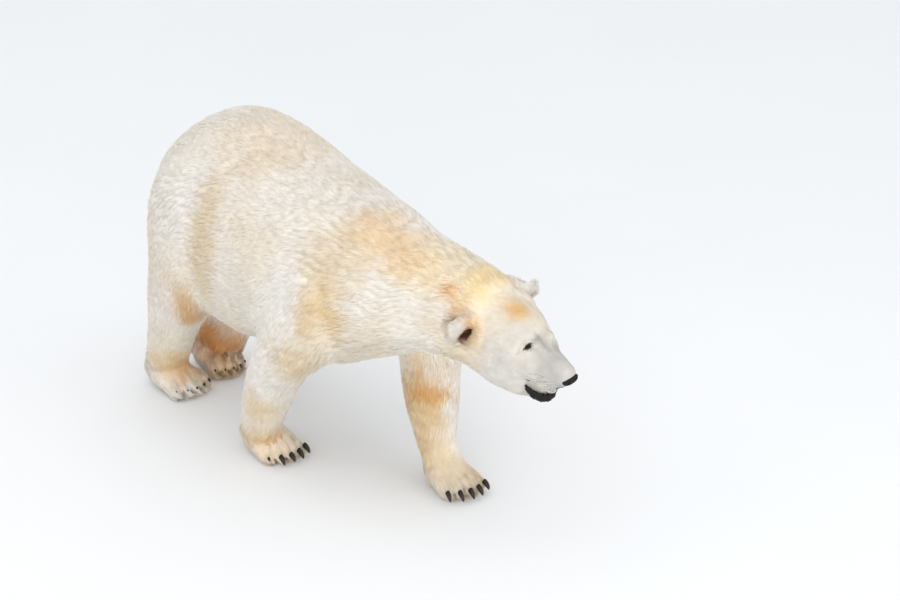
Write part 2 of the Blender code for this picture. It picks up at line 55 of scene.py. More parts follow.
def at(left, ahead, up):
    """A place measured from the floor between the hind feet; the bear looks along -Y."""
    return HIND_FEET + Vector((left, -ahead, up))


def node_material(name, settings):
    """A material of one shader, with the values that are the same all over it."""
    made = bpy.data.materials.new(name)
    made.use_nodes = True
    made.node_tree.nodes.clear()
    shader = made.node_tree.nodes.new("ShaderNodeBsdfPrincipled")
    out = made.node_tree.nodes.new("ShaderNodeOutputMaterial")
    made.node_tree.links.new(shader.outputs["BSDF"], out.inputs["Surface"])
    for socket, value in settings.items():
        shader.inputs[socket].default_value = value
    return made, made.node_tree, shader


def node(tree, kind, inputs=(), **settings):
    """A shader node with its settings and its inputs, each a value or another node's output."""
    made = tree.nodes.new(kind)
    for key, value in settings.items():
        setattr(made, key, value)
    for key, value in dict(inputs).items():
        if isinstance(value, bpy.types.NodeSocket):
            tree.links.new(value, made.inputs[key])
        else:
            made.inputs[key].default_value = value
    return made


bpy.ops.mesh.primitive_plane_add(size=40.0, location=(0, 0, -0.0005))  # just under the soles
floor = bpy.context.object
floor.name = "studio_floor"
snow, tree, shader = node_material("pale_floor", {"Roughness": 0.9, "Specular IOR Level": 0.2})
place_in = node(tree, "ShaderNodeTexCoord").outputs["Object"]
patches = node(tree, "ShaderNodeTexNoise", {"Vector": place_in, "Scale": 0.9, "Detail": 4.0})
tint = node(tree, "ShaderNodeMix", {"Factor": patches.outputs["Fac"]}, data_type="RGBA")
tint.inputs["A"].default_value = (0.845, 0.86, 0.875, 1)
tint.inputs["B"].default_value = (0.885, 0.895, 0.905, 1)
tree.links.new(tint.outputs["Result"], shader.inputs["Base Color"])
floor.data.materials.append(snow)

sky = bpy.data.worlds.new("overcast")
bpy.context.scene.world = sky
sky.use_nodes = True
sky.node_tree.nodes["Background"].inputs["Color"].default_value = (0.965, 0.98, 1.0, 1)
sky.node_tree.nodes["Background"].inputs["Strength"].default_value = 0.97

for name, place, size, energy, colour in (
    ("overhead_softbox", (-2.0, -1.0, 6.0), 6.0, 72.0, (1.0, 0.985, 0.96)),
    ("side_softbox", (-7.0, -7.5, 2.4), 6.0, 268.0, (1.0, 0.985, 0.96)),
    ("front_softbox", (1.5, -6.5, 1.2), 3.0, 60.0, (1.0, 0.99, 0.97)),
):
    lamp = bpy.data.lights.new(name, "AREA")
    lamp.size = size
    lamp.energy = energy
    lamp.color = colour
    lamp_object = bpy.data.objects.new(name, lamp)
    lamp_object.location = place
    lamp_object.rotation_euler = (Vector((0, 0, 0.5)) - Vector(place)).to_track_quat("-Z", "Y").to_euler()
    bpy.context.scene.collection.objects.link(lamp_object)

camera = bpy.data.objects.new("camera", bpy.data.cameras.new("camera"))
camera.data.sensor_width = 36.0
camera.data.lens = 100.0
camera.data.clip_end = 100.0
camera.location = at(-4.8942, 7.3361, 4.2310)
looking_down, turned_round = 24.0, 40.0
camera.rotation_euler = (math.radians(90.0 - looking_down), 0.0, math.radians(-turned_round))
bpy.context.scene.collection.objects.link(camera)
bpy.context.scene.camera = camera
bpy.context.scene.view_settings.view_transform = "Standard"  # plain colours, as the coat is

# ---------------------------------------------------------------- hide
# The bear's skin: one closed surface over trunk, neck, head, jaw, limbs, paws, tail and
# ears. It lies under the coat by the coat's own depth, and carries the same colours, stains and
# painted shade alike, a little darker as painted shade under the fur.
HEAD = (
    Matrix.Translation(at(0.076, 1.664, 0.792))
    @ Matrix.Rotation(math.radians(6.5), 4, "X")
    @ Matrix.Rotation(math.radians(-14.3), 4, "Y")
)
TO_HEAD = np.array(HEAD.inverted())
PARTS = ("trunk", "neck", "head", "jaw", "tail")
LIMB_PARTS = [
    f"{part}_{side}"
    for part in ("upper_arm", "forearm", "paw_fore", "thigh", "shank", "paw_hind")
    for side in ("right", "left")
]
GRAIN = 0.0080  # the hide's mesh
WELD = 0.0010  # how far each part is grown, so that the cuts between parts close


def in_head(points):
    """Points in the head's own frame, as (out to the left, ahead, up)."""
    turned = points @ TO_HEAD[:3, :3].T + TO_HEAD[:3, 3]
    return np.stack([turned[:, 0], -turned[:, 1], turned[:, 2]], axis=1)


def from_head(left, ahead, up):
    return HEAD @ Vector((left, -ahead, up))


def smooth_step(value, low, high):
    t = np.clip((value - low) / (high - low), 0.0, 1.0)
    return t * t * (3 - 2 * t)


def eased(value, to, share):
    """Each value moved towards another by a share from 0 to 1."""
    return value + (to - value) * share


def unit(vectors):
    return vectors / np.maximum(np.linalg.norm(vectors, axis=-1, keepdims=True), 1e-9)


def waves(points, size, seed, layers=9):
    """Smooth unevenness of about -1 to 1, in lumps roughly `size` across."""
    dice = np.random.default_rng(seed)
    total = np.zeros(len(points))
    for _ in range(layers):
        way = unit(dice.normal(size=3)) * (2 * math.pi / size) * dice.uniform(0.45, 1.25)
        total += np.sin(points @ way + dice.uniform(0, 2 * math.pi))
    return total / math.sqrt(layers)


def points_of(mesh):
    flat = np.empty(len(mesh.vertices) * 3)
    mesh.vertices.foreach_get("co", flat)
    return flat.reshape(-1, 3)


def normals_of(mesh):
    flat = np.empty(len(mesh.vertices) * 3)
    mesh.vertex_normals.foreach_get("vector", flat)
    return flat.reshape(-1, 3)


def move_points(mesh, points):
    mesh.vertices.foreach_set("co", np.ascontiguousarray(points).ravel())
    mesh.update()


def new_object(name, mesh):
    made = bpy.data.objects.new(name, mesh)
    bpy.context.scene.collection.objects.link(made)
    return made


def finished(bm, name):
    """A smoothly shaded object from a bmesh, which is then freed."""
    mesh = bpy.data.meshes.new(name)
    bm.to_mesh(mesh)
    bm.free()
    mesh.shade_smooth()
    return new_object(name, mesh)


def add_lump(bm, middle, radii):
    """Adds an ellipsoid in line with the head, its middle and radii as out, ahead and up."""
    place = Matrix.Translation(from_head(*middle)) @ HEAD.to_3x3().to_4x4()
    bmesh.ops.create_uvsphere(bm, u_segments=24, v_segments=16, radius=1.0,
                              matrix=place @ Matrix.Diagonal((*radii, 1.0)))


def paint(mesh, name, values):
    """Stores a colour (three columns) or a mask (one column) at every point of a mesh."""
    if values.ndim == 2:
        layer = mesh.attributes.new(name, "FLOAT_COLOR", "POINT")
        opaque = np.ones((len(values), 1))
        layer.data.foreach_set("color", np.concatenate([values, opaque], axis=1).ravel())
    else:
        layer = mesh.attributes.new(name, "FLOAT", "POINT")
        layer.data.foreach_set("value", values)


def applied(obj):
    """Keeps the evaluated mesh and drops the modifiers."""
    bpy.context.view_layer.update()
    evaluated = obj.evaluated_get(bpy.context.evaluated_depsgraph_get())
    mesh = bpy.data.meshes.new_from_object(evaluated)
    obj.modifiers.clear()
    obj.data = mesh
    return obj


def swollen(bm, mesh, by):
    """Adds a node's mesh to bm, welded and grown a little so that the cuts close."""
    own = bmesh.new()
    own.from_mesh(mesh)
    bmesh.ops.remove_doubles(own, verts=own.verts, dist=0.00002)
    own.normal_update()
    for vertex in own.verts:
        vertex.co += vertex.normal * by
    grown = bpy.data.meshes.new("grown")
    own.to_mesh(grown)
    own.free()
    bm.from_mesh(grown)
    bpy.data.meshes.remove(grown)


def ear_axes(side):
    """An ear's own axes: across, the way its hollow faces, and up."""
    up = Vector((side * 0.62, -0.12, 0.74)).normalized()
    face = Vector((side * 0.42, -0.84, 0.10))
    face = (face - up * face.dot(up)).normalized()
    return HEAD.to_3x3() @ Matrix((face.cross(up), face, up)).transposed()


EARS = {  # middle in the head's frame, half breadth and half height
    -1: ((-0.142, -0.008, 0.050), 0.064, 0.077),
    1: ((0.140, -0.006, 0.036), 0.056, 0.051),
}


def ear_shell(side):
    """An ear as a thick-rimmed cup, rounded at the top."""
    bm = bmesh.new()
    bmesh.ops.create_uvsphere(bm, u_segments=40, v_segments=28, radius=1.0)
    turn = ear_axes(side)
    middle, wide, tall = EARS[side]
    centre = from_head(*middle)
    for vertex in bm.verts:
        x, y, z = vertex.co
        reach = math.hypot(x, z + 0.36)
        y = y * 0.024 if y < 0 else 0.022 * y - 0.037 * max(0.0, 1.0 - (reach / 0.62) ** 2.4)
        x = x * wide * (1.0 - 0.10 * max(0.0, z)) - side * 0.004
        vertex.co = centre + turn @ Vector((x, y - 0.006 * z * z, z * tall))
    mesh = bpy.data.meshes.new("ear")
    bm.to_mesh(mesh)
    bm.free()
    return mesh


bm = bmesh.new()
for name in (*PARTS, *LIMB_PARTS):
    swollen(bm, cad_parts[name].data, WELD)
for side in (-1, 1):
    bm.from_mesh(ear_shell(side))
add_lump(bm, (0.0, 0.339, -0.051), (0.033, 0.020, 0.023))  # the end of the muzzle
for ahead, low, deep in ((0.238, -0.121, 0.016), (0.268, -0.112, 0.017)):  # the upper lip
    add_lump(bm, (-0.030, ahead, low), (0.016, 0.034, deep))
add_lump(bm, (0.125, -0.045, 0.040), (0.036, 0.046, 0.041))  # the root of the left ear
hide = finished(bm, "hide")
melt = hide.modifiers.new("melt", "REMESH")
melt.mode = "VOXEL"
melt.voxel_size = GRAIN
applied(hide)

# Twice as fine a mesh over the face
BROW = 0.115
ahead_of_brow = in_head(points_of(hide.data))[:, 1] > BROW
bm = bmesh.new()
bm.from_mesh(hide.data)
bm.verts.ensure_lookup_table()
edges = [edge for edge in bm.edges if all(ahead_of_brow[vertex.index] for vertex in edge.verts)]
bmesh.ops.subdivide_edges(bm, edges=edges, cuts=1, use_grid_fill=True)
bm.to_mesh(hide.data)
bm.free()

# Each eye: its side, its middle, and the axes towards the nose, up and out of its opening
EYES = {}
for side, word in ((-1, "right"), (1, "left")):
    low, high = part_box(f"eye_{word}")
    outwards = (HEAD.to_3x3() @ Vector((side * 0.86, -0.42, 0.22))).normalized()
    centre = (Vector(low) + Vector(high)) / 2 - outwards * (0.0032 if side < 0 else 0.0060)
    slant = HEAD.to_3x3() @ Vector((-side * 0.40, -0.60, 0.62))
    along = (slant - outwards * slant.dot(outwards)).normalized()
    if side > 0:
        centre += HEAD.to_3x3() @ Vector((0.004, 0.0, -0.006))
    EYES[word] = (side, centre, Matrix((along, outwards.cross(along) * -side, outwards)))
LID_LENGTH, LID_HEIGHT = 0.0166, 0.0054  # half the opening between the lids


def in_eye(points, word):
    """Points seen from the eyeball's centre: (towards the nose, up, outwards)."""
    _, centre, axes = EYES[word]
    return (points - np.array(centre)) @ np.array(axes).T


def eye_crease_shade(points):
    """Painted shade: the dark line of the wrinkle that runs from the inner corner of each eye towards the
    nose.
    """
    dark = np.zeros(len(points))
    for word in EYES:
        across, high, out = in_eye(points, word).T
        line = np.exp(-(((high + 0.25 * (across - 0.013)) / 0.0034) ** 2)) * (np.abs(out) < 0.020)
        line *= smooth_step(across, 0.010, 0.015) * (1 - smooth_step(across, 0.020, 0.032))
        dark = np.maximum(dark, line)
    return dark


def lid_reach(points):
    """How many times the lid opening's size a point lies from the nearer eye."""
    far = 9.0
    reach = np.full(len(points), far)
    for word in EYES:
        across, high, out = in_eye(points, word).T
        opening = np.sqrt((across / LID_LENGTH) ** 2 + (np.abs(high) / LID_HEIGHT) ** 1.6)
        crease = np.hypot((across - 0.0150) / 0.0050, (high + 0.0004) / 0.0011) + 0.5
        reach = np.minimum(reach, np.where(out > -0.01, np.minimum(opening, crease), far))
    return reach


PAWS = {  # left and ahead of the paw, turn in degrees, breadth, length, plumpness of the toes
    "fore_right": (-0.162, 0.668, 1.0, 0.208, 0.248, 0.76),
    "fore_left": (0.168, 1.308, -6.0, 0.200, 0.230, 0.90),
    "hind_right": (-0.126, -0.006, 4.0, 0.200, 0.288, 1.00),
    "hind_left": (0.095, -0.041, -2.0, 0.176, 0.254, 1.10),
}


def paw_stand(paw):
    """Where a paw stands on the floor: its own frame, looking along -Y."""
    left, ahead, turned = PAWS[paw][:3]
    return Matrix.Translation(at(left, ahead, 0.0)) @ Matrix.Rotation(math.radians(turned), 4, "Z")


def toe_gaps(points):
    """How near a point lies to a gap between two toes, and how far out on the toes it is."""
    gap, toes = np.zeros(len(points)), np.zeros(len(points))
    for paw, (_, _, _, breadth, long, _) in PAWS.items():
        back = np.array(paw_stand(paw).inverted())
        across, forwards, up = (points @ back[:3, :3].T + back[:3, 3]).T
        forwards = -forwards / long
        start, fine = (0.08, 0.0120) if paw == "hind_left" else (0.20, 0.0050)
        here = smooth_step(forwards, start, 0.36) * (forwards < 0.75)
        here = here * (up < 0.12) * (np.abs(across) < 0.6 * breadth)
        toes = np.maximum(toes, here * (1.0 if paw.startswith("fore") else 2.2))
        for k in (-1.5, -0.5, 0.5, 1.5):
            line = np.exp(-(((across - k * breadth * (0.17 + 0.03 * forwards)) / fine) ** 2))
            gap = np.maximum(gap, here * line * smooth_step(up, 0.004, 0.020))
    return gap, toes


def regions(points):
    """The places in the head's frame, and the shares of face, muzzle, ear, paw and leg."""
    local = in_head(points)
    face = smooth_step(local[:, 1], 0.02, 0.13)
    muzzle = smooth_step(local[:, 1], 0.19, 0.28)
    mirrored = np.stack([np.abs(local[:, 0]), local[:, 1], local[:, 2]], axis=1)
    near_ear = np.linalg.norm(mirrored - (0.140, -0.006, 0.050), axis=1)
    ear = 1 - smooth_step(near_ear, 0.055, 0.085)
    paw = 1 - smooth_step(points[:, 2], 0.10, 0.22)
    leg = 1 - smooth_step(points[:, 2], 0.25, 0.50)
    return local, face, muzzle, ear, paw, leg


# The melted parts are eased into each other, much over the body and little over face and feet
points = points_of(hide.data)
_, face, _, ear, paw, _ = regions(points)
toes = np.clip(toe_gaps(points)[1], 0.0, 1.0)
fine = np.maximum.reduce([face, ear, paw * (0.25 + 0.75 * toes)])
for name, weights in (("broad", 1 - fine), ("fine", fine)):
    group = hide.vertex_groups.new(name=name)
    for level in range(1, 11):
        rows = np.nonzero(np.round(weights * 10) == level)[0]
        group.add(rows.tolist(), level / 10, "REPLACE")
for name, rounds in (("broad", 45), ("fine", 6)):
    ease = hide.modifiers.new("ease", "SMOOTH")
    ease.factor = 0.5
    ease.iterations = rounds
    ease.vertex_group = name
applied(hide)
points = points_of(hide.data)
local, face, muzzle, ear, paw, leg = regions(points)

# How far the hide lies under the outline: the coat's depth, less and less towards the lids
lid = 1 - smooth_step(lid_reach(points), 1.4, 3.4)
depth = 0.0105 - 0.0015 * leg
for coat, share in ((0.0070, paw), (0.0050, face), (0.0015, muzzle), (0.0030, ear), (0.0008, lid)):
    depth = eased(depth, coat, share)
# the furrow down the middle of the bridge, the hollows before and over each eye, the clefts
furrow = np.exp(-((local[:, 0] / 0.007) ** 2)) * smooth_step(local[:, 2], -0.02, 0.02)
furrow *= smooth_step(local[:, 1], 0.17, 0.21) * (1 - smooth_step(local[:, 1], 0.25, 0.29))
depth += 0.0030 * furrow
for hollow, (out, ahead, up), reach in (
    (0.0045, (0.045, 0.246, 0.022), (0.022, 0.024, 0.020)),
    (0.0030, (0.058, 0.222, 0.050), (0.024, 0.026, 0.026)),
):
    for side in (-1, 1):
        away = np.linalg.norm((local - (side * out, ahead, up)) / np.array(reach), axis=1)
        depth += hollow * np.exp(-(away**2))
CLEFT = 0.006  # between two toes
depth += CLEFT * toe_gaps(points)[0]
move_points(hide.data, points - normals_of(hide.data) * depth[:, None])
hide.data.shade_smooth()

# The stains of the coat, each an uneven patch: (colour, strength, middle, reach), middle and
# reach as left, ahead and up. A few patches are painted shade or painted light instead, noted where
# they stand. The rest is cream, going to white in broad drifts.
CREAM, WHITE = np.array((0.805, 0.730, 0.605)), np.array((0.840, 0.798, 0.735))
TAN, STRAW, YELLOW = (0.730, 0.590, 0.390), (0.795, 0.600, 0.370), (0.840, 0.665, 0.375)
HONEY = (0.790, 0.570, 0.340)
AMBER, RUST, OCHRE = (0.810, 0.520, 0.220), (0.680, 0.400, 0.180), (0.680, 0.370, 0.120)
BUFF, SAND, HENNA = (0.710, 0.530, 0.300), (0.800, 0.650, 0.480), (0.600, 0.270, 0.072)
CHALK, PEARL, ASH = (0.850, 0.820, 0.780), (0.640, 0.625, 0.600), (0.400, 0.390, 0.380)
BODY_STAINS_AND_PAINTED_LIGHT = (
    (STRAW, 0.40, (-0.03, 0.600, 1.140), (0.17, 0.20, 0.09)),
    (TAN, 0.30, (-0.12, 0.640, 1.090), (0.14, 0.10, 0.10)),
    (TAN, 0.62, (-0.256, 0.520, 1.003), (0.10, 0.070, 0.13)),
    (TAN, 0.80, (-0.312, 0.529, 0.849), (0.11, 0.070, 0.14)),
    (TAN, 0.65, (-0.320, 0.505, 0.692), (0.11, 0.075, 0.14)),
    (TAN, 0.35, (-0.300, 0.700, 0.960), (0.10, 0.080, 0.10)),
    (PEARL, 0.35, (-0.319, 0.740, 0.672), (0.12, 0.100, 0.12)),
    (CHALK, 0.60, (-0.257, 0.250, 0.960), (0.16, 0.140, 0.26)),
    (CHALK, 0.65, (-0.157, 0.880, 1.053), (0.16, 0.200, 0.12)),
    (CHALK, 0.55, (-0.307, 1.000, 0.790), (0.12, 0.070, 0.20)),
    (STRAW, 0.80, (-0.090, 1.200, 1.030), (0.13, 0.085, 0.06)),
    (STRAW, 0.90, (-0.085, 1.300, 1.000), (0.13, 0.120, 0.08)),
    (TAN, 0.60, (-0.160, 1.240, 0.930), (0.10, 0.120, 0.10)),
    (STRAW, 0.80, (-0.085, 1.400, 0.975), (0.12, 0.110, 0.07)),
    (YELLOW, 0.55, (-0.020, 1.480, 0.950), (0.12, 0.080, 0.08)),
    (YELLOW, 0.90, (0.050, 1.645, 0.946), (0.12, 0.075, 0.06)),
    (TAN, 0.45, (-0.234, 1.110, 0.920), (0.10, 0.090, 0.10)),
    (BUFF, 0.95, (-0.257, 1.150, 0.755), (0.12, 0.085, 0.15)),
    (CHALK, 0.60, (-0.130, 1.300, 0.850), (0.12, 0.080, 0.10)),
    (TAN, 0.50, (-0.060, 1.560, 0.800), (0.08, 0.090, 0.10)),
    (TAN, 0.65, (-0.050, 1.640, 0.690), (0.10, 0.080, 0.06)),
    (TAN, 0.90, (-0.304, 1.030, 0.530), (0.10, 0.110, 0.09)),
    (CHALK, 0.35, (-0.321, 0.850, 0.400), (0.10, 0.080, 0.10)),
    (TAN, 0.95, (-0.291, 0.800, 0.250), (0.11, 0.080, 0.09)),
    (BUFF, 0.75, (-0.225, 0.740, 0.120), (0.12, 0.110, 0.050)),
    (OCHRE, 0.95, (-0.210, 0.748, 0.095), (0.075, 0.045, 0.020)),
    (SAND, 0.80, (-0.200, 0.763, 0.035), (0.16, 0.180, 0.060)),
    (BUFF, 0.95, (0.115, 1.190, 0.330), (0.12, 0.110, 0.19)),
    (OCHRE, 1.00, (0.120, 1.230, 0.372), (0.085, 0.090, 0.058)),
    (BUFF, 0.90, (0.112, 1.225, 0.170), (0.075, 0.080, 0.13)),
    (BUFF, 0.55, (0.164, 1.350, 0.080), (0.16, 0.160, 0.08)),
    (CHALK, 0.45, (0.224, 1.265, 0.260), (0.045, 0.070, 0.14)),
    (RUST, 1.00, (-0.274, 0.341, 0.490), (0.09, 0.060, 0.10)),
    (TAN, 0.55, (-0.230, 0.330, 0.600), (0.12, 0.080, 0.10)),
    (CHALK, 0.45, (-0.281, 0.180, 0.400), (0.12, 0.090, 0.12)),
    (BUFF, 0.95, (-0.185, 0.080, 0.160), (0.10, 0.090, 0.060)),
    (OCHRE, 0.80, (-0.115, 0.075, 0.100), (0.095, 0.080, 0.050)),
    # partly the foot's pale fur, whitened further as painted light thrown up from the floor under the right
    # hind foot
    (CHALK, 0.90, (-0.200, 0.100, 0.036), (0.12, 0.120, 0.034)),
    (HENNA, 1.00, (0.068, 0.012, 0.142), (0.15, 0.170, 0.100)),
    (HONEY, 1.00, (0.050, 0.080, 0.036), (0.13, 0.080, 0.040)),
    (TAN, 0.50, (0.300, 0.529, 0.800), (0.11, 0.080, 0.22)),
    (TAN, 0.60, (0.260, 1.140, 0.760), (0.12, 0.100, 0.20)),
    (TAN, 0.50, (0.280, 0.300, 0.560), (0.10, 0.100, 0.16)),
)
# The same on the head, in its own frame: left, ahead and up of the middle between the ears
HEAD_STAINS_AND_PAINTED_SHADE = (
    (PEARL, 0.70, (-0.090, 0.150, -0.050), (0.060, 0.120, 0.100)),
    (PEARL, 0.70, (0.090, 0.150, -0.050), (0.060, 0.120, 0.100)),
    (PEARL, 0.50, (0.000, 0.060, -0.190), (0.140, 0.180, 0.060)),
    (PEARL, 0.55, (-0.040, 0.175, 0.080), (0.060, 0.050, 0.040)),
    (CHALK, 1.00, (-0.152, -0.010, 0.062), (0.050, 0.050, 0.050)),
    (CHALK, 1.00, (0.152, -0.010, 0.062), (0.050, 0.050, 0.050)),
    (AMBER, 0.95, (0.006, 0.118, 0.106), (0.040, 0.038, 0.030)),
    (AMBER, 0.45, (0.010, 0.075, 0.118), (0.050, 0.045, 0.030)),
    (YELLOW, 0.60, (-0.020, -0.040, 0.130), (0.080, 0.060, 0.045)),
    (OCHRE, 1.00, (-0.096, -0.096, 0.145), (0.030, 0.030, 0.050)),
    (AMBER, 0.85, (-0.110, -0.040, 0.105), (0.044, 0.026, 0.030)),
    (AMBER, 0.90, (-0.112, 0.030, 0.066), (0.040, 0.036, 0.050)),
    (TAN, 0.70, (-0.128, 0.045, 0.005), (0.040, 0.035, 0.045)),
    (ASH, 0.84, (0.000, 0.310, -0.050), (0.080, 0.090, 0.090)),
    (ASH, 0.68, (0.000, 0.255, -0.010), (0.060, 0.045, 0.050)),
    # painted shade: the grey in the furrow down the bridge and over the stop
    (ASH, 0.75, (-0.002, 0.234, 0.043), (0.012, 0.036, 0.026)),
    (ASH, 0.42, (0.000, 0.230, 0.040), (0.050, 0.050, 0.040)),
    (ASH, 0.35, (0.000, 0.160, -0.180), (0.100, 0.080, 0.050)),
    (AMBER, 0.85, (-0.146, 0.010, 0.012), (0.020, 0.024, 0.024)),
)


def lay_patches(colour, places, stains, warp):
    """Lays each patch, a stain or painted light and shade, over a colour, its edge made uneven by a warp."""
    for tint, strength, middle, reach in stains:
        away = (places - np.array(middle)) / np.array(reach)
        away = np.linalg.norm(away + 0.22 * warp, axis=1)
        share = (strength * (1 - smooth_step(away, 0.15, 1.60)))[:, None]
        colour = colour * (1 - share) + np.array(tint) * share
    return colour


def stains_and_painted_light(points):
    """The coat's colour at each point: its stains, with painted shade and painted light where noted."""
    drift = waves(points * np.array((1.0, 1.0, 0.8)), 0.30, 5) * 0.5 + 0.5
    colour = CREAM + (WHITE - CREAM) * np.clip(drift, 0, 1)[:, None]
    warp = np.stack([waves(points, 0.09, seed) for seed in (11, 12, 13)], axis=1)
    places = (points - np.array(HIND_FEET)) * np.array((1.0, -1.0, 1.0))
    colour = lay_patches(colour, places, BODY_STAINS_AND_PAINTED_LIGHT, warp)
    colour = lay_patches(colour, in_head(points), HEAD_STAINS_AND_PAINTED_SHADE, 0.6 * warp)
    # a faint random tone, and painted shade along the wrinkle from each eye's inner corner
    shade = (1 + 0.025 * waves(points, 0.035, 21)) * (1 - 0.84 * eye_crease_shade(points))
    return np.clip(colour * shade[:, None], 0.01, 0.93)


def mouth_lining(local, facing):
    """Where the hide is the dark lining of the mouth; `facing` is the normal in the head's frame."""
    inside = (np.abs(local[:, 0]) < 0.070) & (local[:, 1] > 0.185) & (local[:, 1] < 0.345)
    roof = inside & (facing[:, 2] < -0.55) & (local[:, 2] > -0.150) & (local[:, 2] < -0.055)
    bed = inside & (facing[:, 2] > 0.55) & (local[:, 2] < -0.120)
    return roof | bed


def ear_cup(points, normals):
    """How deep a point lies in an ear's cup, from 0 at the rim to 1."""
    deep = np.zeros(len(points))
    for side in (-1, 1):
        turn = np.array(ear_axes(side))
        middle, wide, tall = EARS[side]
        x, y, z = ((points - np.array(from_head(*middle))) @ turn).T
        reach = np.hypot(x / wide, z / tall + 0.36)
        cup = (1 - smooth_step(reach, 0.46, 0.72)) * (y < 0.010) * (y > -0.055)
        deep = np.maximum(deep, cup * smooth_step(normals @ turn[:, 1], -0.25, 0.25))
    return deep


LEFT_EAR_PALER = 0.35
points, normals = points_of(hide.data), normals_of(hide.data)
local = in_head(points)
facing = normals @ TO_HEAD[:3, :3].T * np.array((1.0, -1.0, 1.0))
# a little darker than the coat: painted shade under the fur
tint = stains_and_painted_light(points) * 0.94
soles = (points[:, 2] < 0.004) & (normals[:, 2] < -0.7)
rims = 1 - smooth_step(lid_reach(points), 1.35, 1.75)
lined = np.maximum(rims, mouth_lining(local, facing) | soles)[:, None]
tint = tint * (1 - lined) + np.array((0.018, 0.014, 0.013)) * lined
deep = ear_cup(points, normals)[:, None] * np.where(local[:, :1] < 0, 1.0, LEFT_EAR_PALER)
tint = tint * (1 - deep) + np.array((0.120, 0.048, 0.018)) * deep
paint(hide.data, "coat_tint", tint)

for other in bpy.context.selected_objects:
    other.select_set(False)
bpy.context.view_layer.objects.active = hide
hide.select_set(True)
bpy.ops.object.mode_set(mode="EDIT")
bpy.ops.mesh.select_all(action="SELECT")
bpy.ops.uv.smart_project(angle_limit=math.radians(66), island_margin=0.002)
bpy.ops.object.mode_set(mode="OBJECT")
hide.data.uv_layers.active.name = "OFBake"


def add_relief(tree, shader, height, distance, strength):
    bump = node(tree, "ShaderNodeBump", {"Height": height, "Distance": distance, "Strength": strength})
    tree.links.new(bump.outputs["Normal"], shader.inputs["Normal"])


def spread(tree, value, low, high):
    """A value from 0 to 1 stretched to lie between two others."""
    made = node(tree, "ShaderNodeMapRange", {"Value": value, "To Min": low, "To Max": high})
    return made.outputs["Result"]


def hair_grain():
    """Fine hair on a surface: streaked colour, roughness and height from one base tint."""
    group = bpy.data.node_groups.new("hair_grain", "ShaderNodeTree")
    for way, kind, names in (
        ("INPUT", "NodeSocketColor", ("Tint",)),
        ("INPUT", "NodeSocketFloat", ("Fineness", "Streak")),
        ("OUTPUT", "NodeSocketColor", ("Color",)),
        ("OUTPUT", "NodeSocketFloat", ("Roughness", "Height")),
    ):
        for name in names:
            group.interface.new_socket(name, in_out=way, socket_type=kind)
    given = group.nodes.new("NodeGroupInput")
    out = group.nodes.new("NodeGroupOutput")
    place = node(group, "ShaderNodeTexCoord").outputs["Object"]
    fineness, streak = given.outputs["Fineness"], given.outputs["Streak"]
    hairs = node(group, "ShaderNodeTexNoise", {"Vector": place, "Scale": fineness, "Detail": 3.0})
    drifts = node(group, "ShaderNodeTexNoise", {"Vector": place, "Scale": 26.0, "Detail": 2.0})
    low = node(group, "ShaderNodeMath", {0: 1.0, 1: streak}, operation="SUBTRACT")
    high = node(group, "ShaderNodeMath", {0: 1.0, 1: streak}, operation="ADD")
    both = {0: hairs.outputs["Fac"], 1: drifts.outputs["Fac"]}
    blend = node(group, "ShaderNodeMath", both, operation="ADD")
    gain = node(group, "ShaderNodeMapRange", {
        "Value": blend.outputs[0], "From Min": 0.6, "From Max": 1.4,
        "To Min": low.outputs[0], "To Max": high.outputs[0],
    })
    colour = node(group, "ShaderNodeVectorMath",
                  {0: given.outputs["Tint"], "Scale": gain.outputs["Result"]}, operation="SCALE")
    group.links.new(colour.outputs["Vector"], out.inputs["Color"])
    group.links.new(spread(group, hairs.outputs["Fac"], 0.62, 0.92), out.inputs["Roughness"])
    group.links.new(hairs.outputs["Fac"], out.inputs["Height"])
    return group


HAIR_GRAIN = hair_grain()


def hair_material(name, fineness, streak, bump):
    """Matt hair in the colours stored on the coat, its stains and painted shade alike, with the fineness and
    depth of its grain.
    """
    settings = {"Specular IOR Level": 0.22, "Sheen Weight": 0.08, "Sheen Roughness": 0.5}
    made, tree, shader = node_material(name, settings)
    tint = node(tree, "ShaderNodeAttribute", attribute_name="coat_tint")
    grain = tree.nodes.new("ShaderNodeGroup")
    grain.node_tree = HAIR_GRAIN
    tree.links.new(tint.outputs["Color"], grain.inputs["Tint"])
    grain.inputs["Fineness"].default_value = fineness
    grain.inputs["Streak"].default_value = streak
    tree.links.new(grain.outputs["Color"], shader.inputs["Base Color"])
    tree.links.new(grain.outputs["Roughness"], shader.inputs["Roughness"])
    add_relief(tree, shader, grain.outputs["Height"], bump, 0.6)
    return made


hide.data.materials.clear()
hide.data.materials.append(hair_material("undercoat", 420.0, 0.10, 0.0015))
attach(hide, "root")
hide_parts(*PARTS, *LIMB_PARTS, "ear_right", "ear_left")

# ---------------------------------------------------------------- eyes
# Dark brown eyeballs with a wet, slightly bulging cornea, each set under the face so that
# only the front of it shows between the lids.
EYEBALL = 0.0125
SUNK = {"right": 0.0092, "left": 0.0110}  # how far its middle lies under the hide
NEAR_HIDE = BVHTree.FromObject(hide, bpy.context.evaluated_depsgraph_get())
for word, (side, centre, axes) in EYES.items():
    out = Vector(axes[2])
    front, _, _, _ = NEAR_HIDE.ray_cast(centre + out * 0.05, -out)
    EYES[word] = (side, front - out * SUNK[word], axes)


def in_lid_plane(word, across, high, out):
    """The place that lies so far towards the nose, up and out from an eyeball's middle."""
    _, centre, axes = EYES[word]
    return centre + axes.transposed() @ Vector((across, high, out))


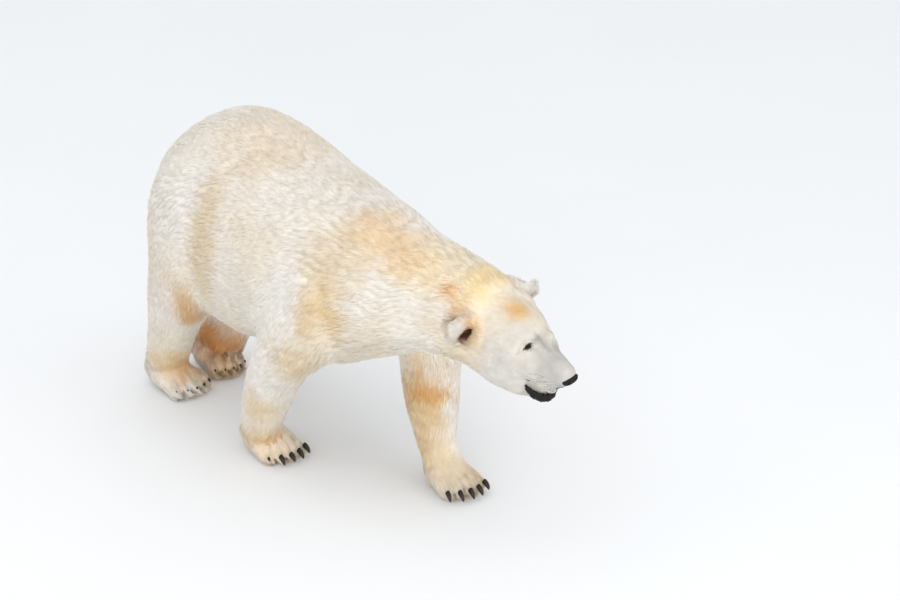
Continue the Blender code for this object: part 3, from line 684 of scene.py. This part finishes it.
def colour_along(tree, shader, amount, stops):
    """Colours a surface by a value, along a ramp of (place, colour) stops."""
    ramp = node(tree, "ShaderNodeValToRGB", {"Fac": amount})
    while len(ramp.color_ramp.elements) < len(stops):
        ramp.color_ramp.elements.new(0.5)
    for element, (where, colour) in zip(ramp.color_ramp.elements, stops):
        element.position, element.color = where, (*colour, 1)
    tree.links.new(ramp.outputs["Color"], shader.inputs["Base Color"])


def eye_material():
    """A black pupil, a dark brown iris with fine fibres, and a darker ring round it."""
    settings = {"Specular IOR Level": 0.25, "Coat Weight": 0.25, "Coat Roughness": 0.03}
    made, tree, shader = node_material("wet_eye", settings)
    angle = node(tree, "ShaderNodeAttribute", attribute_name="from_pupil")
    place = node(tree, "ShaderNodeTexCoord").outputs["Object"]
    fibres = node(tree, "ShaderNodeTexNoise", {"Vector": place, "Scale": 900.0, "Detail": 2.0})
    shifted = node(tree, "ShaderNodeMath", {0: fibres.outputs["Fac"], 1: 0.10, 2: angle.outputs["Fac"]},
                   operation="MULTIPLY_ADD")
    colour_along(tree, shader, shifted.outputs[0], (
        (0.0, (0.004, 0.003, 0.003)),
        (0.30, (0.004, 0.003, 0.003)),
        (0.38, (0.075, 0.030, 0.012)),
        (0.70, (0.050, 0.020, 0.009)),
        (0.80, (0.010, 0.006, 0.005)),
        (1.0, (0.060, 0.040, 0.032)),
    ))
    tree.links.new(spread(tree, fibres.outputs["Fac"], 0.04, 0.09), shader.inputs["Roughness"])
    return made


WET_EYE = eye_material()
for word in EYES:
    bm = bmesh.new()
    bmesh.ops.create_uvsphere(bm, u_segments=48, v_segments=32, radius=1.0)
    angles = []
    for vertex in bm.verts:
        x, y, z = vertex.co
        angle = math.acos(max(-1.0, min(1.0, z)))
        bulge = 1.0 + 0.07 * math.exp(-((angle / 0.55) ** 4))
        vertex.co = in_lid_plane(word, *(EYEBALL * bulge * vertex.co))
        angles.append(min(1.0, angle / 1.1))
    eyeball = finished(bm, f"eyeball_{word}")
    paint(eyeball.data, "from_pupil", np.array(angles))
    eyeball.data.materials.append(WET_EYE)
    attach(eyeball, "root")
    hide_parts(f"eye_{word}")

# ---------------------------------------------------------------- eyelids
# The black rims of the eyes: a rounded edge lying on the eyeball, then bare skin that dips
# and runs out under the short fur, drawn out to a point at the inner corner.


def skin_material(name, colour, pale, rough, bump, scale):
    """Bare black skin with a pebbled grain, paler where it is worn dry."""
    made, tree, shader = node_material(name, {"Specular IOR Level": 0.16})
    place = node(tree, "ShaderNodeTexCoord").outputs["Object"]
    pebbles = node(tree, "ShaderNodeTexVoronoi", {"Vector": place, "Scale": scale}, feature="F1")
    cloud = node(tree, "ShaderNodeTexNoise", {"Vector": place, "Scale": scale * 0.22, "Detail": 4.0})
    mixed = node(tree, "ShaderNodeMix", {"Factor": cloud.outputs["Fac"]}, data_type="RGBA")
    mixed.inputs["A"].default_value = (*colour, 1)
    mixed.inputs["B"].default_value = (*pale, 1)
    tree.links.new(mixed.outputs["Result"], shader.inputs["Base Color"])
    tree.links.new(spread(tree, cloud.outputs["Fac"], rough - 0.09, rough + 0.12), shader.inputs["Roughness"])
    add_relief(tree, shader, pebbles.outputs["Distance"], bump, 0.7)
    return made


def join_rings(bm, rings, ends=()):
    """Faces between each closed ring of points and the next, and over the rings at the ends."""
    for first, second in zip(rings, rings[1:]):
        for k in range(len(first)):
            m = (k + 1) % len(first)
            bm.faces.new((first[k], first[m], second[m], second[k]))
    for ring in ends:
        bm.faces.new(ring)


LID_SKIN = skin_material("lid_skin", (0.010, 0.006, 0.005), (0.030, 0.018, 0.013), 0.42, 0.0006, 1400.0)
LID_RINGS = (  # size of the ring, height over what it lies on, and how far it is off the eyeball
    (0.94, 0.0002, 0.0),
    (0.98, 0.0012, 0.0),
    (1.05, 0.0018, 0.0),
    (1.12, 0.0014, 0.40),
    (1.22, 0.0010, 0.80),
    (1.34, 0.0002, 1.0),
    (1.48, -0.0016, 1.0),
)
LID_STEPS = 56
for word in EYES:
    out = Vector(EYES[word][2][2])
    bm = bmesh.new()
    rings = []
    for size, lift, sink in LID_RINGS:
        ring = []
        for k in range(LID_STEPS):
            turn = 2 * math.pi * k / LID_STEPS
            c, s = math.cos(turn), math.sin(turn)
            across = LID_LENGTH * size * c + 0.0060 * max(0.0, c) ** 8 * (size - 0.9)
            high = LID_HEIGHT * (1.0 + (size - 1) * 1.3) * math.copysign(abs(s) ** 1.25, s)
            flat = min(EYEBALL * 0.999, math.hypot(across, high))
            place = in_lid_plane(word, across, high, math.sqrt(EYEBALL**2 - flat**2) + lift)
            if sink > 0:
                hit, _, _, _ = NEAR_HIDE.ray_cast(in_lid_plane(word, across, high, 0.05), -out)
                if hit is not None:
                    place = place.lerp(hit + out * lift, sink)
            ring.append(bm.verts.new(place))
        rings.append(ring)
    join_rings(bm, rings)
    bmesh.ops.recalc_face_normals(bm, faces=bm.faces)
    if sum(face.normal.dot(out) for face in bm.faces) < 0:
        bmesh.ops.reverse_faces(bm, faces=bm.faces)
    lids = finished(bm, f"eyelids_{word}")
    fuller = lids.modifiers.new("fuller", "SUBSURF")
    fuller.levels = 1
    applied(lids)
    lids.data.materials.append(LID_SKIN)
    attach(lids, "root")

# ---------------------------------------------------------------- nose
# The bare black nose pad, pebbled and slightly moist, with two comma-shaped nostrils that
# open forwards and out to the sides, and a groove down its middle.
NOSE_MIDDLE = from_head(0.0, 0.3470, -0.0520)
NOSE_HALF = (0.0315, 0.0150, 0.0140)  # half its breadth, depth and height
NOSE_TURN = HEAD.to_3x3() @ Matrix.Rotation(math.radians(-16), 3, "X")
bm = bmesh.new()
bmesh.ops.create_uvsphere(bm, u_segments=72, v_segments=52, radius=1.0)
for vertex in bm.verts:
    x, y, z = vertex.co
    x, y, z = (math.copysign(abs(v) ** 0.90, v) for v in (x, y, z))
    broad = 1.0 + 0.10 * z
    for side in (-1, 1):
        hole = ((x - side * 0.46) / 0.17) ** 2 + ((z + 0.02) / 0.24) ** 2
        slit = ((x - side * 0.78) / 0.26) ** 2 + ((z + 0.18) / 0.10) ** 2
        if y < 0:
            y += 0.42 * math.exp(-hole) + 0.24 * math.exp(-slit)
    if y < 0:
        y += 0.12 * math.exp(-((x / 0.07) ** 2)) * (1 - min(1.0, max(0.0, z - 0.15) / 0.4))
    shaped = Vector((x * NOSE_HALF[0] * broad, y * NOSE_HALF[1], z * NOSE_HALF[2]))
    vertex.co = NOSE_MIDDLE + NOSE_TURN @ shaped
nose_pad = finished(bm, "nose_pad")
nose_pad.data.materials.append(
    skin_material("nose_leather", (0.008, 0.007, 0.006), (0.020, 0.017, 0.015), 0.40, 0.0009, 620.0)
)
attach(nose_pad, "root")
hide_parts("nose")

# ---------------------------------------------------------------- lower lip
# The loose black lower lip: a thick wet roll of bare skin slung round the jaw from one corner
# of the mouth to the other, sagging in soft waves.
LIP_ROWS = (  # out, ahead, up, half thickness, half height
    (0.0640, 0.189, -0.1230, 0.0040, 0.0045),
    (0.0590, 0.197, -0.1440, 0.0080, 0.0100),
    (0.0440, 0.206, -0.1700, 0.0100, 0.0140),
    (0.0260, 0.216, -0.1870, 0.0110, 0.0150),
    (0.0085, 0.224, -0.1935, 0.0110, 0.0150),
)
LIP_STEPS = 24
rows = np.array(LIP_ROWS + tuple((-row[0], *row[1:]) for row in reversed(LIP_ROWS)))
stations = []  # a smooth curve through the rows
for i in range(len(rows) - 1):
    before, start, end, after = (rows[min(max(j, 0), len(rows) - 1)] for j in (i - 1, i, i + 1, i + 2))
    for t in np.arange(10) / 10:
        curve = (2 * before - 5 * start + 4 * end - after) * t**2
        curve = (2 * start) + (end - before) * t + curve + (3 * start - before - 3 * end + after) * t**3
        stations.append(0.5 * curve)
stations.append(rows[-1])
bm = bmesh.new()
rings = []
for i, row in enumerate(stations):
    slack = min(1.0, max(0.0, row[0] / 0.035))  # it hangs lower on the left
    here = Vector((row[0], -row[1], row[2] - 0.010 * slack))
    last, following = stations[max(i - 1, 0)], stations[min(i + 1, len(stations) - 1)]
    step = following - last
    along = Vector((step[0], -step[1], step[2])).normalized()
    outwards = along.cross(Vector((0, 0, 1))).normalized()
    upwards = outwards.cross(along)
    ring = []
    for k in range(LIP_STEPS):
        turn = 2 * math.pi * k / LIP_STEPS
        sag = 0.0009 * math.sin(0.55 * i + 0.4) + 0.0006 * math.sin(1.3 * i + 3 * turn)
        wide, tall = row[3] + sag, row[4] * (1 - 0.35 * slack) + sag
        fold = 1.0 - 0.18 * math.exp(-(((turn - 0.5) / 0.35) ** 2))
        off = outwards * (wide * fold * math.cos(turn)) + upwards * (tall * math.sin(turn))
        ring.append(bm.verts.new(HEAD @ (here + off)))
    rings.append(ring)
join_rings(bm, rings, ends=(rings[0], rings[-1]))
bmesh.ops.recalc_face_normals(bm, faces=bm.faces)
lower_lip = finished(bm, "lower_lip")
lower_lip.data.materials.append(
    skin_material("wet_lip", (0.006, 0.006, 0.005), (0.018, 0.017, 0.013), 0.27, 0.0005, 500.0)
)
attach(lower_lip, "root")
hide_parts("lip_lower")

# ---------------------------------------------------------------- claws
# Five stout, curved horn claws to a paw, growing from under the fur of each toe: nearly
# black at the root, worn paler and streaked along their length towards the tip.
CLAWS = {  # how far each claw shows, from the bear's right to its left
    "fore_right": (0.013, 0.036, 0.034, 0.038, 0.038),
    "fore_left": (0.036, 0.038, 0.038, 0.038, 0.036),
    "hind_right": (0.005, 0.006, 0.008, 0.013, 0.016),
    "hind_left": (0.008, 0.008, 0.009, 0.009, 0.008),
}


def claw_horn():
    """Horn streaked along the claw, darkest at the root."""
    made, tree, shader = node_material("claw_horn", {"Specular IOR Level": 0.22})
    along = node(tree, "ShaderNodeAttribute", attribute_name="to_tip")
    place = node(tree, "ShaderNodeTexCoord").outputs["Object"]
    streaks = node(tree, "ShaderNodeTexNoise",
                   {"Vector": place, "Scale": 260.0, "Detail": 3.0, "Distortion": 0.6})
    mixed = node(tree, "ShaderNodeMath", {0: streaks.outputs["Fac"], 1: 0.55, 2: along.outputs["Fac"]},
                 operation="MULTIPLY_ADD")
    stops = ((0.30, (0.012, 0.009, 0.006)), (1.30 / 1.5, (0.046, 0.034, 0.025)))
    colour_along(tree, shader, mixed.outputs[0], stops)
    tree.links.new(spread(tree, streaks.outputs["Fac"], 0.28, 0.52), shader.inputs["Roughness"])
    add_relief(tree, shader, streaks.outputs["Fac"], 0.0004, 0.5)
    return made


HORN = claw_horn()
CLAW_RINGS, CLAW_STEPS = 17, 16
for paw, (_, _, _, breadth, length, plump) in PAWS.items():
    stand = paw_stand(paw)
    stoutest = 0.0108 if paw.startswith("fore") else 0.0058
    bm = bmesh.new()
    to_tip = []
    for toe, long in zip(range(-2, 3), CLAWS[paw]):
        thick = min(stoutest, 0.0015 + 0.38 * long)
        splay = math.radians(5.0 * toe)
        tilt = Vector((math.sin(splay), -math.cos(splay), 0))
        across = Vector((math.cos(splay), math.sin(splay), 0))
        reach = length * 0.385 - 0.0065 * toe * toe + 0.032
        root = Vector((toe * breadth * 0.195, -reach, 0.010 + 0.032 * plump))
        rings = []
        for i in range(CLAW_RINGS):
            t = i / (CLAW_RINGS - 1)
            bend = 0.25 + 1.05 * t  # it leaves the toe level and curves down
            centre = (root + tilt * (long * (math.sin(bend) - math.sin(0.25)) / 1.05)
                      - Vector((0, 0, long * (math.cos(0.25) - math.cos(bend)) / 1.05)))
            radius = thick * (1.0 - 0.74 * t**2.8) + 0.0002 * math.sin(25 * t)
            normal = Vector((0, 0, 1)) * math.cos(bend) + tilt * math.sin(bend)
            ring = []
            for k in range(CLAW_STEPS):
                a = 2 * math.pi * k / CLAW_STEPS
                keel = 1.0 + 0.10 * max(0.0, -math.sin(a))
                off = across * (0.78 * radius * math.cos(a)) + normal * (radius * keel * math.sin(a))
                ring.append(bm.verts.new(stand @ (centre + off)))
                to_tip.append(t)
            rings.append(ring)
        join_rings(bm, rings, ends=(rings[0], rings[-1]))
    bmesh.ops.recalc_face_normals(bm, faces=bm.faces)
    claws = finished(bm, f"claws_{paw}")
    paint(claws.data, "to_tip", np.array(to_tip))
    claws.data.materials.append(HORN)
    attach(claws, "root")
    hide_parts(*(f"claw_{paw}_{i}" for i in range(1, 6)))

# ---------------------------------------------------------------- coat
# The fur: some three hundred thousand tapering tufts rooted in the hide, dense and short on
# the face and feet, longer on trunk and thighs, all lying back along the body's lines.
BONES = (  # region, from, to (left, ahead, up), half thickness, coat's length, lean down
    ("neck", (0.060, 1.560, 0.790), (-0.030, 1.330, 0.830), 0.17, 0.036, 0.40),
    ("shoulders", (-0.030, 1.330, 0.830), (-0.060, 1.060, 0.850), 0.22, 0.042, 0.45),
    ("barrel", (-0.060, 1.060, 0.850), (-0.100, 0.720, 0.830), 0.25, 0.046, 0.45),
    ("barrel", (-0.100, 0.720, 0.830), (-0.110, 0.450, 0.880), 0.27, 0.046, 0.60),
    ("rump", (-0.110, 0.450, 0.880), (-0.070, 0.120, 0.860), 0.25, 0.045, 0.75),
    ("rump", (-0.070, 0.120, 0.860), (-0.010, -0.060, 0.780), 0.14, 0.048, 1.20),
    ("fore_right", (-0.200, 1.060, 0.800), (-0.222, 0.930, 0.560), 0.14, 0.044, 0.0),
    ("fore_right", (-0.222, 0.930, 0.560), (-0.222, 0.815, 0.400), 0.11, 0.042, 0.0),
    ("fore_right", (-0.222, 0.815, 0.400), (-0.205, 0.690, 0.150), 0.092, 0.036, 0.0),
    ("fore_left", (0.170, 1.060, 0.800), (0.205, 1.120, 0.550), 0.13, 0.044, 0.0),
    ("fore_left", (0.205, 1.120, 0.550), (0.203, 1.155, 0.380), 0.11, 0.042, 0.0),
    ("fore_left", (0.203, 1.155, 0.380), (0.186, 1.210, 0.150), 0.092, 0.036, 0.0),
    ("hind_right", (-0.200, 0.300, 0.850), (-0.202, 0.245, 0.620), 0.17, 0.045, 0.0),
    ("hind_right", (-0.202, 0.245, 0.620), (-0.182, 0.130, 0.420), 0.13, 0.042, 0.0),
    ("hind_right", (-0.182, 0.130, 0.420), (-0.146, 0.010, 0.170), 0.098, 0.036, 0.0),
    ("hind_left", (0.235, 0.290, 0.850), (0.240, 0.200, 0.620), 0.16, 0.045, 0.0),
    ("hind_left", (0.240, 0.200, 0.620), (0.193, 0.072, 0.420), 0.13, 0.042, 0.0),
    ("hind_left", (0.193, 0.072, 0.420), (0.125, -0.024, 0.170), 0.100, 0.036, 0.0),
    ("fore_right", (-0.190, 0.640, 0.085), (-0.160, 0.780, 0.030), 0.085, 0.030, 0.0),
    ("fore_left", (0.172, 1.250, 0.085), (0.168, 1.410, 0.030), 0.085, 0.030, 0.0),
    ("hind_right", (-0.134, -0.075, 0.085), (-0.122, 0.118, 0.030), 0.090, 0.032, 0.0),
    ("hind_left", (0.100, -0.105, 0.085), (0.095, 0.068, 0.030), 0.085, 0.032, 0.0),
)
BACKWARDS = np.array((0.0, 1.0, 0.0))
DOWN = np.array((0.0, 0.0, -1.0))
SKULL_END, NOSE_END = np.array((0.0, -0.100, -0.030)), np.array((0.0, 0.345, -0.055))


def lie_of_coat(points):
    """Which way the coat lies at each point, its length there, and which region it belongs to."""
    names = sorted({bone[0] for bone in BONES} | {"head"})
    way = np.zeros((len(points), 3))
    length = np.zeros(len(points))
    share = np.zeros((len(names), len(points)))
    for name, start, end, half, long, lean in BONES:
        a, b = np.array(at(*start)), np.array(at(*end))
        t = np.clip((points - a) @ (b - a) / np.dot(b - a, b - a), 0.0, 1.0)
        away = np.linalg.norm(points - a - t[:, None] * (b - a), axis=1)
        weight = (half / np.maximum(away, 0.01)) ** 7
        way += weight[:, None] * (unit(b - a) + lean * DOWN + (0.22 * BACKWARDS if lean == 0.0 else 0.0))
        length += weight * long
        share[names.index(name)] += weight
    # the face: backwards from the nose, out to the sides and down over the cheeks
    local = in_head(points)
    a, b = SKULL_END, NOSE_END
    t = np.clip((local - a) @ (b - a) / np.dot(b - a, b - a), 0.0, 1.0)
    away = np.linalg.norm(local - a - t[:, None] * (b - a), axis=1)
    half = np.interp(t, (0.0, 0.45, 0.75, 1.0), (0.165, 0.140, 0.085, 0.045))
    weight = (half / np.maximum(away, 0.004)) ** 7 * smooth_step(local[:, 1], -0.16, -0.06)
    cheek = smooth_step(-local[:, 2], -0.04, 0.10) * (1 - smooth_step(local[:, 1], 0.18, 0.26))
    combed = np.stack([0.9 * local[:, 0], np.ones(len(points)), -0.75 * cheek + 0.10], axis=1)
    way += weight[:, None] * (unit(combed) @ np.array(HEAD.to_3x3()).T)
    stations, lengths = (-0.10, 0.0, 0.10, 0.19, 0.26, 0.34), (0.030, 0.024, 0.017, 0.0115, 0.0075, 0.0050)
    length += weight * np.interp(local[:, 1], stations, lengths)
    share[names.index("head")] += weight
    # the ears: up from the root and out to the rim
    for side in (-1, 1):
        turn = np.array(ear_axes(side))
        foot = np.array(from_head(*EARS[side][0])) - 0.045 * turn[:, 2]
        across, _, high = ((points - foot) @ turn).T
        away = np.linalg.norm(points - foot - np.clip(high, 0.0, 0.10)[:, None] * turn[:, 2], axis=1)
        weight = 2.0 * (0.048 / np.maximum(away, 0.01)) ** 9
        way += weight[:, None] * (turn[:, 2] + 8.0 * across[:, None] * turn[:, 0])
        length += weight * 0.018
        share[names.index("head")] += weight
    total = share.sum(axis=0)
    return unit(way), length / total, share.argmax(axis=0), names


def combed_flat(way, normals):
    """The same directions laid down on the surface."""
    return unit(way - (way * normals).sum(axis=1, keepdims=True) * normals)


# The roots: a steady number to each square metre, spread evenly over the hide's triangles
mesh = hide.data
mesh.calc_loop_triangles()
corners = np.empty(len(mesh.loop_triangles) * 3, dtype=np.int32)
loops = np.empty(len(mesh.loop_triangles) * 3, dtype=np.int32)
mesh.loop_triangles.foreach_get("vertices", corners)
mesh.loop_triangles.foreach_get("loops", loops)
corners, loops = corners.reshape(-1, 3), loops.reshape(-1, 3)
unwrap = np.empty(len(mesh.loops) * 2)
mesh.uv_layers["OFBake"].data.foreach_get("uv", unwrap)
unwrap = unwrap.reshape(-1, 2)
points, normals = points_of(mesh), normals_of(mesh)
a, b, c = (points[corners[:, k]] for k in range(3))
areas = 0.5 * np.linalg.norm(np.cross(b - a, c - a), axis=1)
_, face, muzzle, ear, paw, leg = regions(points[corners].mean(axis=1))
density = eased(60000.0 + 8000.0 * leg, 78000.0, paw)
density = np.maximum(density, 110000.0 * ear)
density = eased(eased(density, 125000.0, face), 210000.0, muzzle)
dice = np.random.default_rng(7)
running = np.cumsum(areas * density)
count = int(running[-1])
picked = np.searchsorted(running, (np.arange(count) + dice.random(count)) / count * running[-1])
picked = np.minimum(picked, len(areas) - 1)
share = dice.random((count, 2))
share = np.where(share.sum(axis=1, keepdims=True) > 1, 1 - share, share)
share = np.stack([1 - share.sum(axis=1), share[:, 0], share[:, 1]], axis=1)
root = (points[corners[picked]] * share[:, :, None]).sum(axis=1)
normal = unit((normals[corners[picked]] * share[:, :, None]).sum(axis=1))
uv = (unwrap[loops[picked]] * share[:, :, None]).sum(axis=1)

# Bare of tufts: the nose, the mouth's lining, the lids, the soles and most of the ear's hollow
local, face, muzzle, ear, paw, _ = regions(root)
facing = normal @ TO_HEAD[:3, :3].T * np.array((1.0, -1.0, 1.0))
from_nose = (root - np.array(NOSE_MIDDLE)) @ np.array(NOSE_TURN) / np.array(NOSE_HALF)
from_nose = np.linalg.norm(from_nose, axis=1)
cup = ear_cup(root, normal) * np.where(local[:, 0] < 0, 1.0, LEFT_EAR_PALER)
bald = mouth_lining(local, facing) | (lid_reach(root) < 1.30) | (from_nose < 0.98)
bald |= (root[:, 2] < 0.006) & (normal[:, 2] < -0.6)
bald |= dice.random(count) < 0.95 * cup * (cup > 0.3)
keep = ~bald
root, normal, uv, local, cup = (values[keep] for values in (root, normal, uv, local, cup))
face, muzzle, ear, paw = (values[keep] for values in (face, muzzle, ear, paw))
count = len(root)

way, length, region, names = lie_of_coat(root)
swirl = 0.16 * waves(root, 0.12, 31) + 0.12 * waves(root, 0.028, 32) + 0.07 * dice.normal(size=count)
along = combed_flat(way, normal)
side_ways = np.cross(normal, along)
along = unit(along * np.cos(swirl)[:, None] + side_ways * np.sin(swirl)[:, None])
side_ways = np.cross(normal, along)

# Low, long ripples run across the flanks, where the coat parts over the muscles beneath
body = (1 - face) * (1 - paw) * (1 - ear) * smooth_step(root[:, 2], 0.30, 0.50)
steep = 1 - np.abs(normal[:, 2])
bent = root[:, 2] / 0.023 + 0.55 * waves(root * np.array((1, 1, 2.0)), 0.20, 41)
bent += 0.30 * waves(root, 0.07, 42)
patchy = 0.35 + 0.65 * smooth_step(waves(root, 0.25, 43), -0.6, 0.6)
ripple = np.sin(2 * math.pi * bent) * body * patchy * (0.35 + 0.65 * steep)
clump = waves(root, 0.022, 51) * (1 - face)

# Each tuft's length, its width, and how far it stands off the hide
belly = body * smooth_step(-normal[:, 2], 0.25, 0.75)
length = length * (1 + 0.16 * dice.normal(size=count).clip(-1.5, 1.5) + 0.10 * clump) + 0.016 * belly
width = eased(eased(eased(0.0048, 0.0040, paw), 0.0027, face), 0.0018, muzzle)
width = np.where(ear > 0.5, 0.0030, width) * (0.8 + 0.4 * dice.random(count))
lift = 3.5 + 1.0 * clump + 2.0 * ripple + 1.6 * dice.normal(size=count).clip(-1.5, 1.5) + 6.0 * belly
lift = np.radians(eased(eased(lift, 8.0, face), 15.0, ear))
root = root + normal * (0.0024 * ripple - 0.0006)[:, None]

# Its colour: the stain where it is rooted, with dark whisker roots, painted shade in the clefts between the
# toes, and painted light and shade along the ripples
tint = stains_and_painted_light(root + (0.010 - 0.007 * face)[:, None] * dice.normal(size=(count, 3)))
# random tone and clumps, with painted light on the ripples' crests and painted shade in their furrows
tone_and_shade = 1 + 0.035 * dice.normal(size=count).clip(-2, 2) + 0.030 * clump + 0.050 * ripple
whiskered = muzzle * (local[:, 2] < -0.050) * (local[:, 2] > -0.150) * (local[:, 1] < 0.34)
tone_and_shade = tone_and_shade - 0.80 * whiskered * (waves(local * np.array((1, 0.7, 1.6)), 0.0075, 71) > 0.40)
gap, toes = toe_gaps(root)
# painted shade in the clefts between the toes
tone_and_shade = tone_and_shade - 0.80 * gap
root = root - normal * (CLEFT * gap)[:, None]
length = length - 0.009 * np.clip(toes, 0, 1) + 0.006 * toes
tint = np.clip(eased(tint * tone_and_shade[:, None], np.array((0.42, 0.22, 0.09)), cup[:, None]), 0.01, 0.94)

TUFT_FUR = hair_material("guard_hair", 900.0, 0.07, 0.0004)
# One tuft: two corners at the root, a ridge a third of the way along, and the tip
SIDES = np.array((-0.5, 0.5, 0.0, 0.0))
STEPS = np.array((0.0, 0.0, 0.32, 1.0))
RIDGE = np.array((0.0, 0.0, 0.26, 0.0))
CORNERS = np.array((0, 3, 2, 2, 3, 1, 0, 1, 3, 0, 2, 1))
UNDERSIDE = [6, 7, 8]  # the corners of the face that lies on the coat below
DEPTH_SHADE = np.array((0.97, 0.97, 1.0, 1.02))  # painted shade deep in the coat: darker at the root, paler towards the tip
PATCH = 0.003  # a tuft's size on the unwrap


def coat_piece(name, rows):
    """Some of the tufts as one mesh, each lighted as a lock of hair lying on the body."""
    n, d, s = normal[rows][:, None, :], along[rows][:, None, :], side_ways[rows][:, None, :]
    long, broad = length[rows][:, None], width[rows][:, None]
    rise = lift[rows][:, None]
    t = STEPS[None, :]
    places = (
        root[rows][:, None, :] + d * (long * t * np.cos(rise))[:, :, None]
        + n * (long * t * np.sin(rise) + broad * RIDGE)[:, :, None] + s * (broad * SIDES)[:, :, None]
    )
    back = (0.22 * ripple[rows] + 0.05)[:, None, None]
    shading = unit(n + s * (0.30 * SIDES)[None, :, None] + d * back)
    colour = np.clip(tint[rows][:, None, :] * DEPTH_SHADE[None, :, None], 0.0, 0.96)
    size = len(rows)
    mesh = bpy.data.meshes.new(name)
    mesh.vertices.add(size * 4)
    places[:, :, 2] = np.maximum(places[:, :, 2], 0.0006)  # none goes into the floor
    mesh.vertices.foreach_set("co", places.ravel())
    mesh.loops.add(size * 12)
    order = (np.arange(size)[:, None] * 4 + CORNERS[None, :]).ravel()
    mesh.loops.foreach_set("vertex_index", order)
    mesh.polygons.add(size * 4)
    mesh.polygons.foreach_set("loop_start", np.arange(size * 4) * 3)
    mesh.update(calc_edges=True)
    mesh.shade_smooth()
    shading = shading[:, CORNERS]
    shading[:, UNDERSIDE] = unit(0.7 * d - n)
    mesh.normals_split_custom_set(shading.reshape(-1, 3).tolist())
    paint(mesh, "coat_tint", colour.reshape(-1, 3))
    patch = np.stack([SIDES[CORNERS], STEPS[CORNERS] - 0.5], axis=1) * PATCH
    layer = mesh.uv_layers.new(name="OFBake")
    layer.data.foreach_set("uv", (uv[rows][:, None, :] + patch[None, :, :]).ravel())
    mesh.materials.append(TUFT_FUR)
    made = new_object(name, mesh)
    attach(made, "root")


MOST_TUFTS = 48000  # in one piece
for i, name in enumerate(names):
    rows = np.nonzero(region == i)[0]
    rows = rows[np.argsort(root[rows, 1], kind="stable")]
    pieces = max(1, math.ceil(len(rows) / MOST_TUFTS))
    for k, part in enumerate(np.array_split(rows, pieces)):
        coat_piece(f"coat_{name}_{k + 1}" if pieces > 1 else f"coat_{name}", part)
